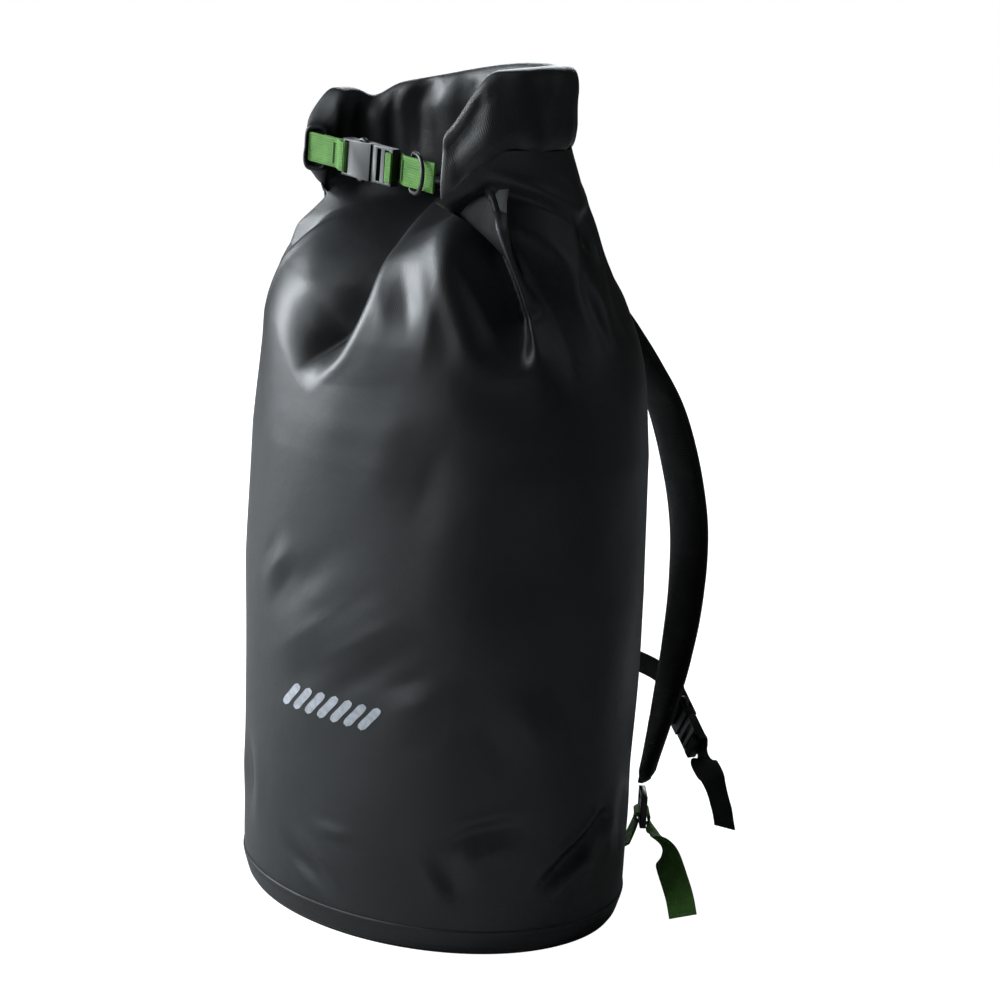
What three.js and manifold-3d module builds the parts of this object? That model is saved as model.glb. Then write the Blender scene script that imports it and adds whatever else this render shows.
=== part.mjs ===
// A roll-top rope storage bag with backpack straps, in millimetres.
// Frame: +Z up, origin at the centre of the base's underside. The front faces -Y, the wearer's back +Y.
// The tarpaulin tube stands on an oval base. Its mouth is rolled down into a band, and the band's two ends
// are brought round to the front and joined by a side-release buckle on 25 mm webbing.

import * as THREE from "three";
import { mergeVertices } from "three/addons/utils/BufferGeometryUtils.js";
import Module from "manifold-3d";

const wasm = await Module();
wasm.setup();

// ---------------------------------------------------------------- driving dimensions
const GAP = 0.3; // between pieces that touch
const LIE = 1.6; // under a flat piece that lies on the curved tube
const WEBBING = 25; // webbing width
const WEB_T = 1.8; // webbing thickness
const LOOP_GAP = 0.9; // round a buckle's bar, where webbing turns sharply
const TARP_T = 2; // tarpaulin wall, drawn thicker than the real 0.9 mm so that it is a sound solid
const BASE_T = 3;

// The filled tube: half width, half depth and centre's y at each height.
const TUBE = [
  { z: 1, a: 179, b: 144, y: 0 },
  { z: 24, a: 186, b: 150, y: 0 },
  { z: 120, a: 187, b: 150, y: 0 },
  { z: 300, a: 190, b: 152, y: 0 },
  { z: 420, a: 187, b: 150, y: 0 },
  { z: 520, a: 178, b: 142, y: -2 },
  { z: 600, a: 164, b: 128, y: -8 },
  { z: 660, a: 150, b: 112, y: -14 },
];
const NECK_START = 470; // where the tube starts to gather
const NECK_TOP = 638; // where the gathered fabric meets the roll, at x = 0

// The rolled mouth: a C-shaped band on an ellipse. Its top is higher on the +X side, and its foot lies in the
// plane that the two halves swing in.
const ROLL = { a: 118, b: 70, y: -35, thick: 22, top: 732, topSlope: 0.155, foot: 640.5 };
const SPLIT = THREE.MathUtils.degToRad(96.3); // where the two ends of the roll bend apart
const LEFT_END = THREE.MathUtils.degToRad(201);
const RIGHT_END = THREE.MathUtils.degToRad(-65);
const PIVOT = new THREE.Vector3(-13, 46, 0); // on the roll's outer face at the split

// The closing strap is square to the line from the pivot to the buckle, and drops towards +X.
const STRAP_TURN = THREE.MathUtils.degToRad(-12);
const STRAP_DROP = 0.055;
const STRAP_REACH = 128; // from the pivot to the strap
const STRAP_Z = 662; // at the foot of that line
const STRAP_LEFT = -75.3; // where the strap meets the roll's ends, along the strap
const STRAP_RIGHT = 90.5;

const BUCKLE = { left: -24, length: 37, width: 31, thick: 11, wall: 2, bar: 3, slot: 5 };
const PLUG = { length: 27, thick: 8, prong: 22, prongWide: 4.6, prongThick: 4.4, prongGap: 17 };
const DEE = { s: 58, offset: -3, half: 16, leg: 10, wire: 1.8, rest: 20 };

// The back: a foam pad, a yoke that carries the straps and the haul loop, and two padded straps that bow away
// from the bag and come back to its sides. Points are for the +X strap: x, y, z, its width's turn in degrees.
const PAD = { width: 210, height: 384, z: 262, thick: 10, corner: 36 };
const YOKE = { width: 190, height: 50, z: 528, thick: 3, corner: 10 };
const HAUL = { half: 40, z: 518, reach: 30, stand: 4.5 };
const SHOULDER = { width: 54, thick: 9 };
const SHOULDER_PATH = [
  [65, 123, 551, 19],
  [69, 133, 535, 19],
  [77, 147, 515, 18],
  [88, 170, 481, 16],
  [101, 191, 440, 16],
  [114, 206, 382, 18],
  [124, 212, 322, 22],
  [131, 203, 262, 28],
  [138, 182, 210, 36],
  [145, 153, 160, 46],
  [152, 117, 105, 53],
];
const LOCK = { width: 33, height: 30, thick: 6, at: [153, 115, 80], turn: 53 };
const TAIL_PATH = [
  [166, 116, 60],
  [177, 108, 57],
  [192, 95, 53],
  [211, 79, 42],
  [226, 69, 27],
  [235, 62, 14],
];
const TAIL_ACROSS = new THREE.Vector3(0.71, 0.63, 0.34); // the tail twists until its width runs this way
const CHEST = { at: [144, 187, 150], drop: -34, turn: -28 };
const CHEST_PATH = [
  [-131, 184, 166],
  [-112, 191, 167],
  [-70, 192, 168],
  [0, 190, 169],
  [50, 199, 186],
];
const CHEST_TAIL_PATH = [
  [193, 199, 46],
  [190, 194, 68],
  [184, 186, 94],
];
const SLIDER = { inner: -29, outer: -8, thick: 6, from: 0.8, to: 0.865 }; // across and along the strap

// ---------------------------------------------------------------- materials
const material = (color, roughness, metalness = 0) =>
  new THREE.MeshStandardMaterial({ color, roughness, metalness });
const TARP = material(0x1b1c1f, 0.42);
const TARP_EDGE = material(0x141517, 0.5);
const GREEN = material(0x6fce3c, 0.8);
const BLACK_WEB = material(0x0b0b0c, 0.85);
const PLASTIC = material(0x17181a, 0.45);
const MESH_FOAM = material(0x08080a, 0.95);

const bag = new THREE.Group();

function add(name, geometry, look, parent = bag) {
  const mesh = new THREE.Mesh(geometry, look);
  mesh.name = name;
  parent.add(mesh);
  return mesh;
}

// ---------------------------------------------------------------- joining and cutting
function toSolid(geometry) {
  const bare = geometry.clone();
  bare.deleteAttribute("normal");
  bare.deleteAttribute("uv");
  const merged = mergeVertices(bare, 1e-4);
  return new wasm.Manifold(
    new wasm.Mesh({
      numProp: 3,
      vertProperties: new Float32Array(merged.attributes.position.array),
      triVerts: new Uint32Array(merged.index.array),
    }),
  );
}

function toGeometry(solid) {
  const mesh = solid.getMesh();
  return new THREE.BufferGeometry()
    .setAttribute("position", new THREE.BufferAttribute(mesh.vertProperties.slice(), 3))
    .setIndex(new THREE.BufferAttribute(mesh.triVerts.slice(), 1));
}

const union = (...parts) => toGeometry(parts.map(toSolid).reduce((a, b) => a.add(b)));
const cut = (body, ...tools) =>
  toGeometry(tools.map(toSolid).reduce((a, b) => a.subtract(b), toSolid(body)));

function box(x0, x1, y0, y1, z0, z1) {
  return new THREE.BoxGeometry(x1 - x0, y1 - y0, z1 - z0).translate(
    (x0 + x1) / 2,
    (y0 + y1) / 2,
    (z0 + z1) / 2,
  );
}

// ---------------------------------------------------------------- shapes that are bent
// A flat outline with rounded corners, centred on the origin.
function roundedRect(width, height, radius, cornerSteps = 3) {
  const shape = new THREE.Shape();
  const corners = [
    [width / 2 - radius, height / 2 - radius, 0],
    [-width / 2 + radius, height / 2 - radius, Math.PI / 2],
    [-width / 2 + radius, -height / 2 + radius, Math.PI],
    [width / 2 - radius, -height / 2 + radius, 1.5 * Math.PI],
  ];
  const points = corners.flatMap(([x, y, turn]) =>
    Array.from({ length: cornerSteps + 1 }, (_, i) => {
      const angle = turn + (i / cornerSteps) * (Math.PI / 2);
      return new THREE.Vector2(x + radius * Math.cos(angle), y + radius * Math.sin(angle));
    }),
  );
  shape.setFromPoints(points);
  return shape;
}

// A straight bar of that section, then each slice is carried to frameAt(t): {at, side, up}.
function sweep(section, steps, frameAt) {
  const bar = new THREE.ExtrudeGeometry(section, { depth: 1, steps, bevelEnabled: false });
  const position = bar.getAttribute("position");
  const frames = Array.from({ length: steps + 1 }, (_, i) => frameAt(i / steps));
  for (let i = 0; i < position.count; i++) {
    const { at, side, up } = frames[Math.round(position.getZ(i) * steps)];
    const u = position.getX(i);
    const v = position.getY(i);
    position.setXYZ(
      i,
      at.x + side.x * u + up.x * v,
      at.y + side.y * u + up.y * v,
      at.z + side.z * u + up.z * v,
    );
  }
  return bar;
}

// Webbing or padding along a curve. acrossAt(t) says which way its width runs, and is made square to it.
// spread moves the even steps, so that they can crowd where the curve turns tightly.
function strap(curve, steps, width, thick, acrossAt, spread = (t) => t) {
  const section = roundedRect(width, thick, thick * 0.35, 1);
  return sweep(section, steps, (step) => {
    const t = spread(step);
    const along = curve.getTangentAt(t);
    const across = acrossAt(t).clone();
    across.addScaledVector(along, -across.dot(along)).normalize();
    return { at: curve.getPointAt(t), side: across, up: along.clone().cross(across) };
  });
}

const spline = (...points) =>
  new THREE.CatmullRomCurve3(
    points.map(([x, y, z]) => new THREE.Vector3(x, y, z)),
    false,
    "centripetal",
  );

// ---------------------------------------------------------------- the tarpaulin tube
// Half width, half depth and centre of the tube at a height.
function tubeAt(z) {
  let i = TUBE.findIndex((ring) => ring.z > z);
  if (i < 1) i = i === 0 ? 1 : TUBE.length - 1;
  const [low, high] = [TUBE[i - 1], TUBE[i]];
  const t = THREE.MathUtils.clamp((z - low.z) / (high.z - low.z), 0, 1);
  const mix = (key) => THREE.MathUtils.lerp(low[key], high[key], t);
  return { a: mix("a"), b: mix("b"), y: mix("y") };
}

// A point of the roll's ellipse, moved outwards by offset.
function rollPoint(angle, offset) {
  const normal = new THREE.Vector2(Math.cos(angle) / ROLL.a, Math.sin(angle) / ROLL.b).normalize();
  return new THREE.Vector2(
    ROLL.a * Math.cos(angle) + normal.x * offset,
    ROLL.y + ROLL.b * Math.sin(angle) + normal.y * offset,
  );
}

// The gathered mouth just under the roll: a flattened tube bent into a C. share runs once round it, from the
// back over the -X side to the front, as the tube's own angle does.
const MOUTH_HALF = 9.5;
const MOUTH_LEFT = LEFT_END - 0.14;
const MOUTH_RIGHT = RIGHT_END + 0.1;
const TURN_SHARE = 0.022;
const LEFT_SHARE = 0.209;
const RIGHT_SHARE = LEFT_SHARE + 0.5;

function mouthPoint(share) {
  const lerp = THREE.MathUtils.lerp;
  const tip = (end, sweepFrom, t) => {
    const centre = rollPoint(end, 0);
    const outward = rollPoint(end, 1).sub(centre);
    const ahead = new THREE.Vector2(-outward.y, outward.x).multiplyScalar(sweepFrom);
    const angle = t * Math.PI;
    return centre
      .addScaledVector(outward, MOUTH_HALF * Math.cos(angle) * sweepFrom)
      .addScaledVector(ahead, MOUTH_HALF * Math.sin(angle));
  };
  if (share < LEFT_SHARE - TURN_SHARE)
    return rollPoint(lerp(Math.PI / 2, MOUTH_LEFT, share / (LEFT_SHARE - TURN_SHARE)), MOUTH_HALF);
  if (share < LEFT_SHARE + TURN_SHARE)
    return tip(MOUTH_LEFT, 1, (share - LEFT_SHARE + TURN_SHARE) / (2 * TURN_SHARE));
  if (share < RIGHT_SHARE - TURN_SHARE) {
    const t = (share - LEFT_SHARE - TURN_SHARE) / (RIGHT_SHARE - LEFT_SHARE - 2 * TURN_SHARE);
    return rollPoint(lerp(MOUTH_LEFT, MOUTH_RIGHT, t), -MOUTH_HALF);
  }
  if (share < RIGHT_SHARE + TURN_SHARE)
    return tip(MOUTH_RIGHT, -1, (share - RIGHT_SHARE + TURN_SHARE) / (2 * TURN_SHARE));
  const t = (share - RIGHT_SHARE - TURN_SHARE) / (1 - RIGHT_SHARE - TURN_SHARE);
  return rollPoint(lerp(MOUTH_RIGHT, Math.PI / 2, t), MOUTH_HALF);
}

// The tube's outer surface: share once round from the back, z up. It slopes in early at the back on the +X
// side, and late opposite.
const BACK_RIGHT = -0.147;

function tubePoint(share, z) {
  const ring = tubeAt(z);
  const angle = Math.PI / 2 + share * 2 * Math.PI;
  const x = ring.a * Math.cos(angle);
  const y = ring.y + ring.b * Math.sin(angle);
  if (z <= NECK_START) return new THREE.Vector3(x, y, z);
  const mouth = mouthPoint(((share % 1) + 1) % 1);
  const late = 3.05 - 0.95 * Math.cos((share - BACK_RIGHT) * 2 * Math.PI);
  const rise = (z - NECK_START) / (NECK_TOP - NECK_START);
  const gather = Math.pow(rise, late);
  const slope = -STRAP_DROP * mouth.x * rise;
  return new THREE.Vector3(
    THREE.MathUtils.lerp(x, mouth.x, gather),
    THREE.MathUtils.lerp(y, mouth.y, gather),
    z + slope,
  );
}

function tubeNormal(share, z) {
  const step = 0.004;
  const around = tubePoint(share + step, z).sub(tubePoint(share - step, z));
  const up = tubePoint(share, Math.min(z + 2, NECK_TOP)).sub(tubePoint(share, z - 2));
  return around.cross(up).normalize();
}

// A surface that wraps both ways: each row is a function of the share once round.
function wrappedGrid(rows, around) {
  const vertices = rows.flatMap((pointAt) =>
    Array.from({ length: around }, (_, i) => pointAt(i / around).toArray()).flat(),
  );
  const index = [];
  for (let j = 0; j < rows.length; j++)
    for (let i = 0; i < around; i++) {
      const next = (i + 1) % around;
      const low = j * around;
      const high = ((j + 1) % rows.length) * around;
      index.push(low + i, low + next, high + next, low + i, high + next, high + i);
    }
  return new THREE.BufferGeometry()
    .setAttribute("position", new THREE.Float32BufferAttribute(vertices, 3))
    .setIndex(index);
}

// A shell between the tube's surface raised by two offsets, from one height to another. heightAt(t) is z.
function tubeShell(outerOffset, innerOffset, heightAt, around, along) {
  const raised = (t, offset) => (share) => {
    const z = heightAt(t);
    return tubePoint(share, z).addScaledVector(tubeNormal(share, z), offset);
  };
  const rows = [];
  for (let j = 0; j <= along; j++) rows.push(raised(j / along, outerOffset));
  for (let j = along; j >= 0; j--) rows.push(raised(j / along, innerOffset));
  return wrappedGrid(rows, around);
}

function buildTube() {
  const heights = TUBE.map((ring) => ring.z).filter((z) => z < NECK_START);
  const neckRows = 8;
  for (let i = 0; i <= neckRows; i++)
    heights.push(THREE.MathUtils.lerp(NECK_START, NECK_TOP, i / neckRows));
  const zAt = (t) => heights[Math.round(t * (heights.length - 1))];
  add("bag_tube", tubeShell(0, -TARP_T, zAt, 60, heights.length - 1), TARP);
}

// The base: an oval disc with an upstand welded inside the tube's foot, and a tape bound round the outside.
function buildBase() {
  const foot = TUBE[0];
  const inset = TARP_T + GAP + 0.8;
  const upstand = 16;
  const profile = [
    [0, 0],
    [foot.a, 0],
    [foot.a, foot.z - GAP],
    [foot.a - inset, foot.z - GAP],
    [foot.a - inset, upstand],
    [foot.a - inset - 2, upstand],
    [foot.a - inset - 2, BASE_T],
    [0, BASE_T],
  ].map(([r, z]) => new THREE.Vector2(r, z));
  const disc = new THREE.LatheGeometry(profile, 48).rotateX(Math.PI / 2);
  disc.scale(1, foot.b / foot.a, 1);
  add("base_panel", disc, TARP_EDGE);
  const tape = { low: 3, high: TUBE[1].z, thick: 1.4 };
  const tapeZ = (t) => THREE.MathUtils.lerp(tape.low, tape.high, t);
  add("base_tape", tubeShell(GAP + tape.thick, GAP, tapeZ, 60, 1), TARP_EDGE);
}

// ---------------------------------------------------------------- the roll and its closing strap
// One half of the rolled mouth, from the split to one end.
function rollHalf(name, from, to) {
  const section = roundedRect(ROLL.thick, 1, 0.14, 2);
  const band = sweep(section, 14, (t) => {
    const angle = THREE.MathUtils.lerp(from, to, t);
    const centre = rollPoint(angle, 0);
    const side = rollPoint(angle, Math.sign(from - to)).sub(centre);
    const low = ROLL.foot - STRAP_DROP * centre.x;
    const high = ROLL.top + ROLL.topSlope * centre.x;
    return {
      at: new THREE.Vector3(centre.x, centre.y, (low + high) / 2),
      side: new THREE.Vector3(side.x, side.y, -STRAP_DROP * side.x),
      up: new THREE.Vector3(0, 0, high - low),
    };
  });
  add(name, band, TARP);
}

// A frame for a buckle: x along the webbing, y through its thickness and z along its width.
function webFrame(along, through, at) {
  const x = along.clone().normalize();
  const z = x.clone().cross(through).normalize();
  return new THREE.Matrix4().makeBasis(x, z.clone().cross(x), z).setPosition(at);
}

// The closing strap's frame: y points back towards the pivot.
function closureFrame() {
  const along = new THREE.Vector3(Math.cos(STRAP_TURN), Math.sin(STRAP_TURN), -STRAP_DROP);
  const inward = new THREE.Vector3(-Math.sin(STRAP_TURN), Math.cos(STRAP_TURN), 0);
  const foot = PIVOT.clone().addScaledVector(inward, -STRAP_REACH).setZ(STRAP_Z);
  return webFrame(along, inward, foot);
}

// The chest strap's frame: its buckle hangs across the +X strap and drops towards its free end.
function chestFrame() {
  const turn = THREE.MathUtils.degToRad(CHEST.turn);
  const drop = THREE.MathUtils.degToRad(CHEST.drop);
  const flat = new THREE.Vector3(Math.cos(turn), Math.sin(turn), 0);
  const along = flat.multiplyScalar(Math.cos(drop)).setZ(Math.sin(drop));
  const backward = new THREE.Vector3(-Math.sin(turn), Math.cos(turn), 0);
  return webFrame(along, backward, new THREE.Vector3(...CHEST.at));
}

const local = (frame, points) => points.map((point) => new THREE.Vector3(...point).applyMatrix4(frame));
const widthOf = (frame) => new THREE.Vector3().setFromMatrixColumn(frame, 2);

// Webbing through world points, its width kept along the frame's own.
function webbing(name, points, steps, frame, look) {
  const curve = new THREE.CatmullRomCurve3(points, false, "centripetal");
  add(name, strap(curve, steps, WEBBING, WEB_T, () => widthOf(frame)), look);
}

// The female half: a mouth for the prongs, windows in its sides, and a bar for the webbing.
function socketBody() {
  const { left, length, width, thick, wall, bar, slot } = BUCKLE;
  const right = left + length;
  const inside = left + bar + slot + wall;
  const low = -thick / 2 + wall;
  const shell = box(left, right, -thick / 2, thick / 2, -width / 2, width / 2);
  const cavity = box(inside, right + 1, low, -low, -width / 2 + wall, width / 2 - wall);
  const window = box(inside + 4, inside + 19, low, -low, -width, width);
  const webSlot = box(left + bar, left + bar + slot, -thick, thick, -WEBBING / 2 - 1, WEBBING / 2 + 1);
  return cut(shell, cavity, window, webSlot);
}

// The webbing's run round the socket's bar, from the far side of the strap and back, along x and y.
function socketLoop(fold) {
  const { left, thick, bar } = BUCKLE;
  const face = thick / 2 + LOOP_GAP + WEB_T / 2;
  const end = left + bar + LOOP_GAP + WEB_T / 2;
  const half = [
    [left - 24, 1.3],
    [left - 12, 1.4],
    [left - 6, face - 3],
    [left - 0.5, face],
    [end - 0.4, face - 0.4],
  ];
  const back = half.map(([x, y]) => [x, -y]).reverse();
  return [...half, [end, 0], ...back, [left - fold, -1.3]].map(([x, y]) => [x, -y, 0]);
}

// The male half: two prongs, and two slots for the webbing.
function plugBody() {
  const left = BUCKLE.left + BUCKLE.length + GAP;
  const half = BUCKLE.width / 2;
  const plate = box(left, left + PLUG.length, -PLUG.thick / 2, PLUG.thick / 2, -half, half);
  const prongs = [-1, 1].map((side) => {
    const middle = (side * (PLUG.prongGap + PLUG.prongWide)) / 2;
    const prong = box(0, PLUG.prong + 1, -PLUG.prongThick / 2, PLUG.prongThick / 2, 0, PLUG.prongWide);
    return prong.translate(left - PLUG.prong, 0, middle - PLUG.prongWide / 2);
  });
  const slots = [7, 17].map((start) =>
    box(left + start, left + start + 5, -PLUG.thick, PLUG.thick, -WEBBING / 2 - 1, WEBBING / 2 + 1),
  );
  return cut(union(plate, ...prongs), ...slots);
}

// The webbing's run from the strap round the plug's end bar.
function plugLoop() {
  const right = BUCKLE.left + BUCKLE.length + GAP + PLUG.length;
  const through = right - PLUG.length + 22 - LOOP_GAP - WEB_T / 2;
  const face = PLUG.thick / 2 + LOOP_GAP + WEB_T / 2;
  return [
    [right + 22, 0],
    [right + 12, 0],
    [right + 5, 2.4 - face],
    [right - 0.5, -face],
    [through + 0.8, 0.4 - face],
    [through, 0],
    [through + 0.8, face - 0.4],
    [right - 0.5, face],
    [right + 1.5, face],
  ].map(([x, y]) => [x, -y, 0]);
}

function buildClosure() {
  const frame = closureFrame();
  add("closure_socket", socketBody().applyMatrix4(frame), PLASTIC);
  add("closure_plug", plugBody().applyMatrix4(frame), PLASTIC);
  const left = local(frame, [[STRAP_LEFT, -1.3, 0], ...socketLoop(34)]);
  webbing("closure_socket_webbing", left, 32, frame, GREEN);
  const right = local(frame, [[STRAP_RIGHT, 0, 0], ...plugLoop()]);
  webbing("closure_plug_webbing", right, 26, frame, GREEN);
}

// The D-ring is threaded round the webbing: its bar behind, its bow in front, lying towards +X.
function buildDeeRing() {
  const { half, leg, wire } = DEE;
  const outline = [
    [0, -half],
    [0, half],
    [leg, half],
  ];
  for (let i = 1; i < 10; i++) {
    const angle = Math.PI / 2 - (i / 10) * Math.PI;
    outline.push([leg + half * Math.cos(angle), half * Math.sin(angle)]);
  }
  outline.push([leg, -half]);
  const corners = outline.map(([x, z]) => new THREE.Vector3(x, 0, z));
  const count = corners.length;
  const rows = Array.from({ length: 8 }, (_, j) => (share) => {
    const i = Math.round(share * count) % count;
    const before = corners[(i + count - 1) % count].clone().sub(corners[i]).normalize();
    const after = corners[(i + 1) % count].clone().sub(corners[i]).normalize();
    const inward = before.add(after).normalize();
    const angle = (j / 8) * 2 * Math.PI;
    const wireOffset = new THREE.Vector3(0, wire * Math.sin(angle), 0);
    return corners[i].clone().addScaledVector(inward, -wire * Math.cos(angle)).add(wireOffset);
  });
  const ring = wrappedGrid(rows, count).rotateZ(-THREE.MathUtils.degToRad(DEE.rest));
  ring.translate(DEE.s, -DEE.offset, 0);
  add("dee_ring", ring.applyMatrix4(closureFrame()), PLASTIC);
}

// ---------------------------------------------------------------- the back
// Where the tube's back is at (x, z), and its outward normal.
function backPoint(x, z) {
  const share = Math.asin(THREE.MathUtils.clamp(-x / tubeAt(z).a, -1, 1)) / (2 * Math.PI);
  return { at: tubePoint(share, z), normal: tubeNormal(share, z) };
}

// A flat piece wrapped on the tube's back, between two heights above the fabric.
function onBack(outline, centreZ, low, high, finest) {
  const plate = new THREE.ExtrudeGeometry(outline, { depth: 1, steps: 1, bevelEnabled: false });
  const dense = toGeometry(toSolid(plate).refineToLength(finest));
  const position = dense.getAttribute("position");
  for (let i = 0; i < position.count; i++) {
    const { at, normal } = backPoint(position.getX(i), centreZ + position.getY(i));
    at.addScaledVector(normal, THREE.MathUtils.lerp(high, low, position.getZ(i)));
    position.setXYZ(i, at.x, at.y, at.z);
  }
  return dense;
}

function buildBack() {
  const pad = roundedRect(PAD.width, PAD.height, PAD.corner, 3);
  add("back_pad", onBack(pad, PAD.z, LIE, PAD.thick, 34), MESH_FOAM);
  const yoke = roundedRect(YOKE.width, YOKE.height, YOKE.corner, 2);
  add("strap_yoke", onBack(yoke, YOKE.z, LIE, YOKE.thick, 24), BLACK_WEB);
  const root = YOKE.thick + HAUL.stand;
  const side = backPoint(HAUL.half, HAUL.z).at.y + root;
  const haul = spline(
    [-HAUL.half, side, HAUL.z],
    [-HAUL.half * 0.9, side + HAUL.reach * 0.45, HAUL.z + 1],
    [-HAUL.half * 0.5, side + HAUL.reach * 0.9, HAUL.z + 3],
    [HAUL.half * 0.5, side + HAUL.reach * 0.9, HAUL.z + 3],
    [HAUL.half * 0.9, side + HAUL.reach * 0.45, HAUL.z + 1],
    [HAUL.half, side, HAUL.z],
  );
  const haulLoop = strap(haul, 18, WEBBING, WEB_T, () => new THREE.Vector3(0, 0, 1));
  add("haul_loop", haulLoop, BLACK_WEB);
}

const acrossAngle = (degrees, side) => {
  const turn = THREE.MathUtils.degToRad(degrees);
  return new THREE.Vector3(Math.cos(turn) * side, -Math.sin(turn), 0);
};

// The curve a shoulder strap follows, and which way its width runs along it.
function shoulderRun(side) {
  const path = spline(...SHOULDER_PATH.map(([x, y, z]) => [x * side, y, z]));
  const last = SHOULDER_PATH.length - 1;
  const acrossAt = (t) => {
    const i = Math.min(Math.floor(t * last), last - 1);
    return acrossAngle(
      THREE.MathUtils.lerp(SHOULDER_PATH[i][3], SHOULDER_PATH[i + 1][3], t * last - i),
      side,
    );
  };
  return { path, acrossAt };
}

// One shoulder strap with its ladder lock, adjusting webbing and tail. side is +1 or -1.
function buildStrap(side) {
  const suffix = side > 0 ? "right" : "left";
  const { path, acrossAt } = shoulderRun(side);
  add(`shoulder_strap_${suffix}`, strap(path, 16, SHOULDER.width, SHOULDER.thick, acrossAt), MESH_FOAM);

  const across = acrossAngle(LOCK.turn, side);
  const outward = new THREE.Vector3(Math.sin(THREE.MathUtils.degToRad(LOCK.turn)) * side, across.x * side, 0);
  const at = new THREE.Vector3(LOCK.at[0] * side, LOCK.at[1], LOCK.at[2]);
  const lockFrame = new THREE.Matrix4()
    .makeBasis(outward.clone().cross(new THREE.Vector3(0, 0, 1)), outward, new THREE.Vector3(0, 0, 1))
    .setPosition(at);
  const half = LOCK.height / 2;
  const plate = box(-LOCK.width / 2, LOCK.width / 2, -LOCK.thick / 2, LOCK.thick / 2, -half, half);
  const slotX = WEBBING / 2 + 1;
  const upper = box(-slotX, slotX, -LOCK.thick, LOCK.thick, half - 9, half - 3.5);
  const lower = box(-slotX, slotX, -LOCK.thick, LOCK.thick, half - 20, half - 13);
  add(`ladder_lock_${suffix}`, cut(plate, upper, lower).applyMatrix4(lockFrame), PLASTIC);

  const face = LOCK.thick / 2 + LOOP_GAP + WEB_T;
  const bar = half - 20; // top of the bottom bar, that the adjusting webbing turns over
  const surface = backPoint(LOCK.at[0] - 4, 48);
  const anchor = surface.at.addScaledVector(surface.normal, 1.6 + WEB_T / 2);
  anchor.x *= side;
  const lockPoints = local(lockFrame, [
    [0, -face, bar - 6],
    [0, -face, bar + 0.8],
    [0, 0, bar + LOOP_GAP + WEB_T],
    [0, face, bar + 0.8],
    [0, face, bar - 5],
    [0, face + 1, bar - 9],
  ]);
  const tail = TAIL_PATH.map(([x, y, z]) => new THREE.Vector3(x * side, y, z));
  const adjusting = new THREE.CatmullRomCurve3([anchor, ...lockPoints, ...tail], false, "centripetal");
  const tailAcross = TAIL_ACROSS.clone().setX(TAIL_ACROSS.x * side).multiplyScalar(side);
  const twist = (t) => THREE.MathUtils.smoothstep(t, 0.5, 0.8);
  const web = strap(adjusting, 36, WEBBING, WEB_T, (t) => across.clone().lerp(tailAcross, twist(t)));
  add(`strap_webbing_${suffix}`, web, GREEN);
}

// A slider that lies on the outer face of the -X shoulder strap, over its inner edge.
function sliderBody() {
  const { path, acrossAt } = shoulderRun(-1);
  const low = SHOULDER.thick / 2 + GAP + 0.4;
  const section = new THREE.Shape().setFromPoints(
    [
      [SLIDER.inner, -low],
      [SLIDER.outer, -low],
      [SLIDER.outer, -low - SLIDER.thick],
      [SLIDER.inner, -low - SLIDER.thick],
    ].map(([u, v]) => new THREE.Vector2(u, v)),
  );
  return sweep(section, 2, (t) => {
    const s = THREE.MathUtils.lerp(SLIDER.from, SLIDER.to, t);
    const along = path.getTangentAt(s);
    const side = acrossAt(s).addScaledVector(along, -acrossAt(s).dot(along)).normalize();
    return { at: path.getPointAt(s), side, up: along.clone().cross(side) };
  });
}

// The chest strap: webbing from a slider on the -X strap, across the back, to the buckle on the +X strap.
function buildChest() {
  const frame = chestFrame();
  add("chest_socket", socketBody().applyMatrix4(frame), PLASTIC);
  add("chest_plug", plugBody().applyMatrix4(frame), PLASTIC);
  const world = (points) => points.map((point) => new THREE.Vector3(...point));
  const level = webFrame(new THREE.Vector3(1, 0, 0), new THREE.Vector3(0, 1, 0), new THREE.Vector3());
  const points = [...world(CHEST_PATH), ...local(frame, socketLoop(34))];
  const across = new THREE.CatmullRomCurve3(points, false, "centripetal");
  const loopShare = 0.3; // the last part, that turns tightly round the bar
  const fineEnd = (t) => (t < 0.3 ? (t / 0.3) * (1 - loopShare) : 1 - loopShare * ((1 - t) / 0.7));
  const turned = (t) => widthOf(level).lerp(widthOf(frame), THREE.MathUtils.smoothstep(t, 0.3, 0.6));
  add("chest_webbing", strap(across, 50, WEBBING, WEB_T, turned, fineEnd), BLACK_WEB);
  const tail = [...world(CHEST_TAIL_PATH), ...local(frame, plugLoop()).slice(1)];
  webbing("chest_tail", tail, 30, frame, BLACK_WEB);
  const keeper = box(-14, 4, -9, -BUCKLE.thick / 2 - GAP, -13, 13);
  add("chest_keeper", keeper.applyMatrix4(frame), PLASTIC);
  add("chest_slider", sliderBody(), PLASTIC);
}

buildTube();
buildBase();
rollHalf("roll_left", SPLIT + 0.002, LEFT_END);
rollHalf("roll_right", SPLIT - 0.002, RIGHT_END);
buildClosure();
buildDeeRing();
buildBack();
buildStrap(1);
buildStrap(-1);
buildChest();

export default bag;
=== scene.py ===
"""A roll-top rope storage bag: the fabric, webbing and hardware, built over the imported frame."""

import math
from contextlib import contextmanager

import bmesh
import bpy
import numpy as np
from mathutils import Matrix, Vector
from mathutils.bvhtree import BVHTree


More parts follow.
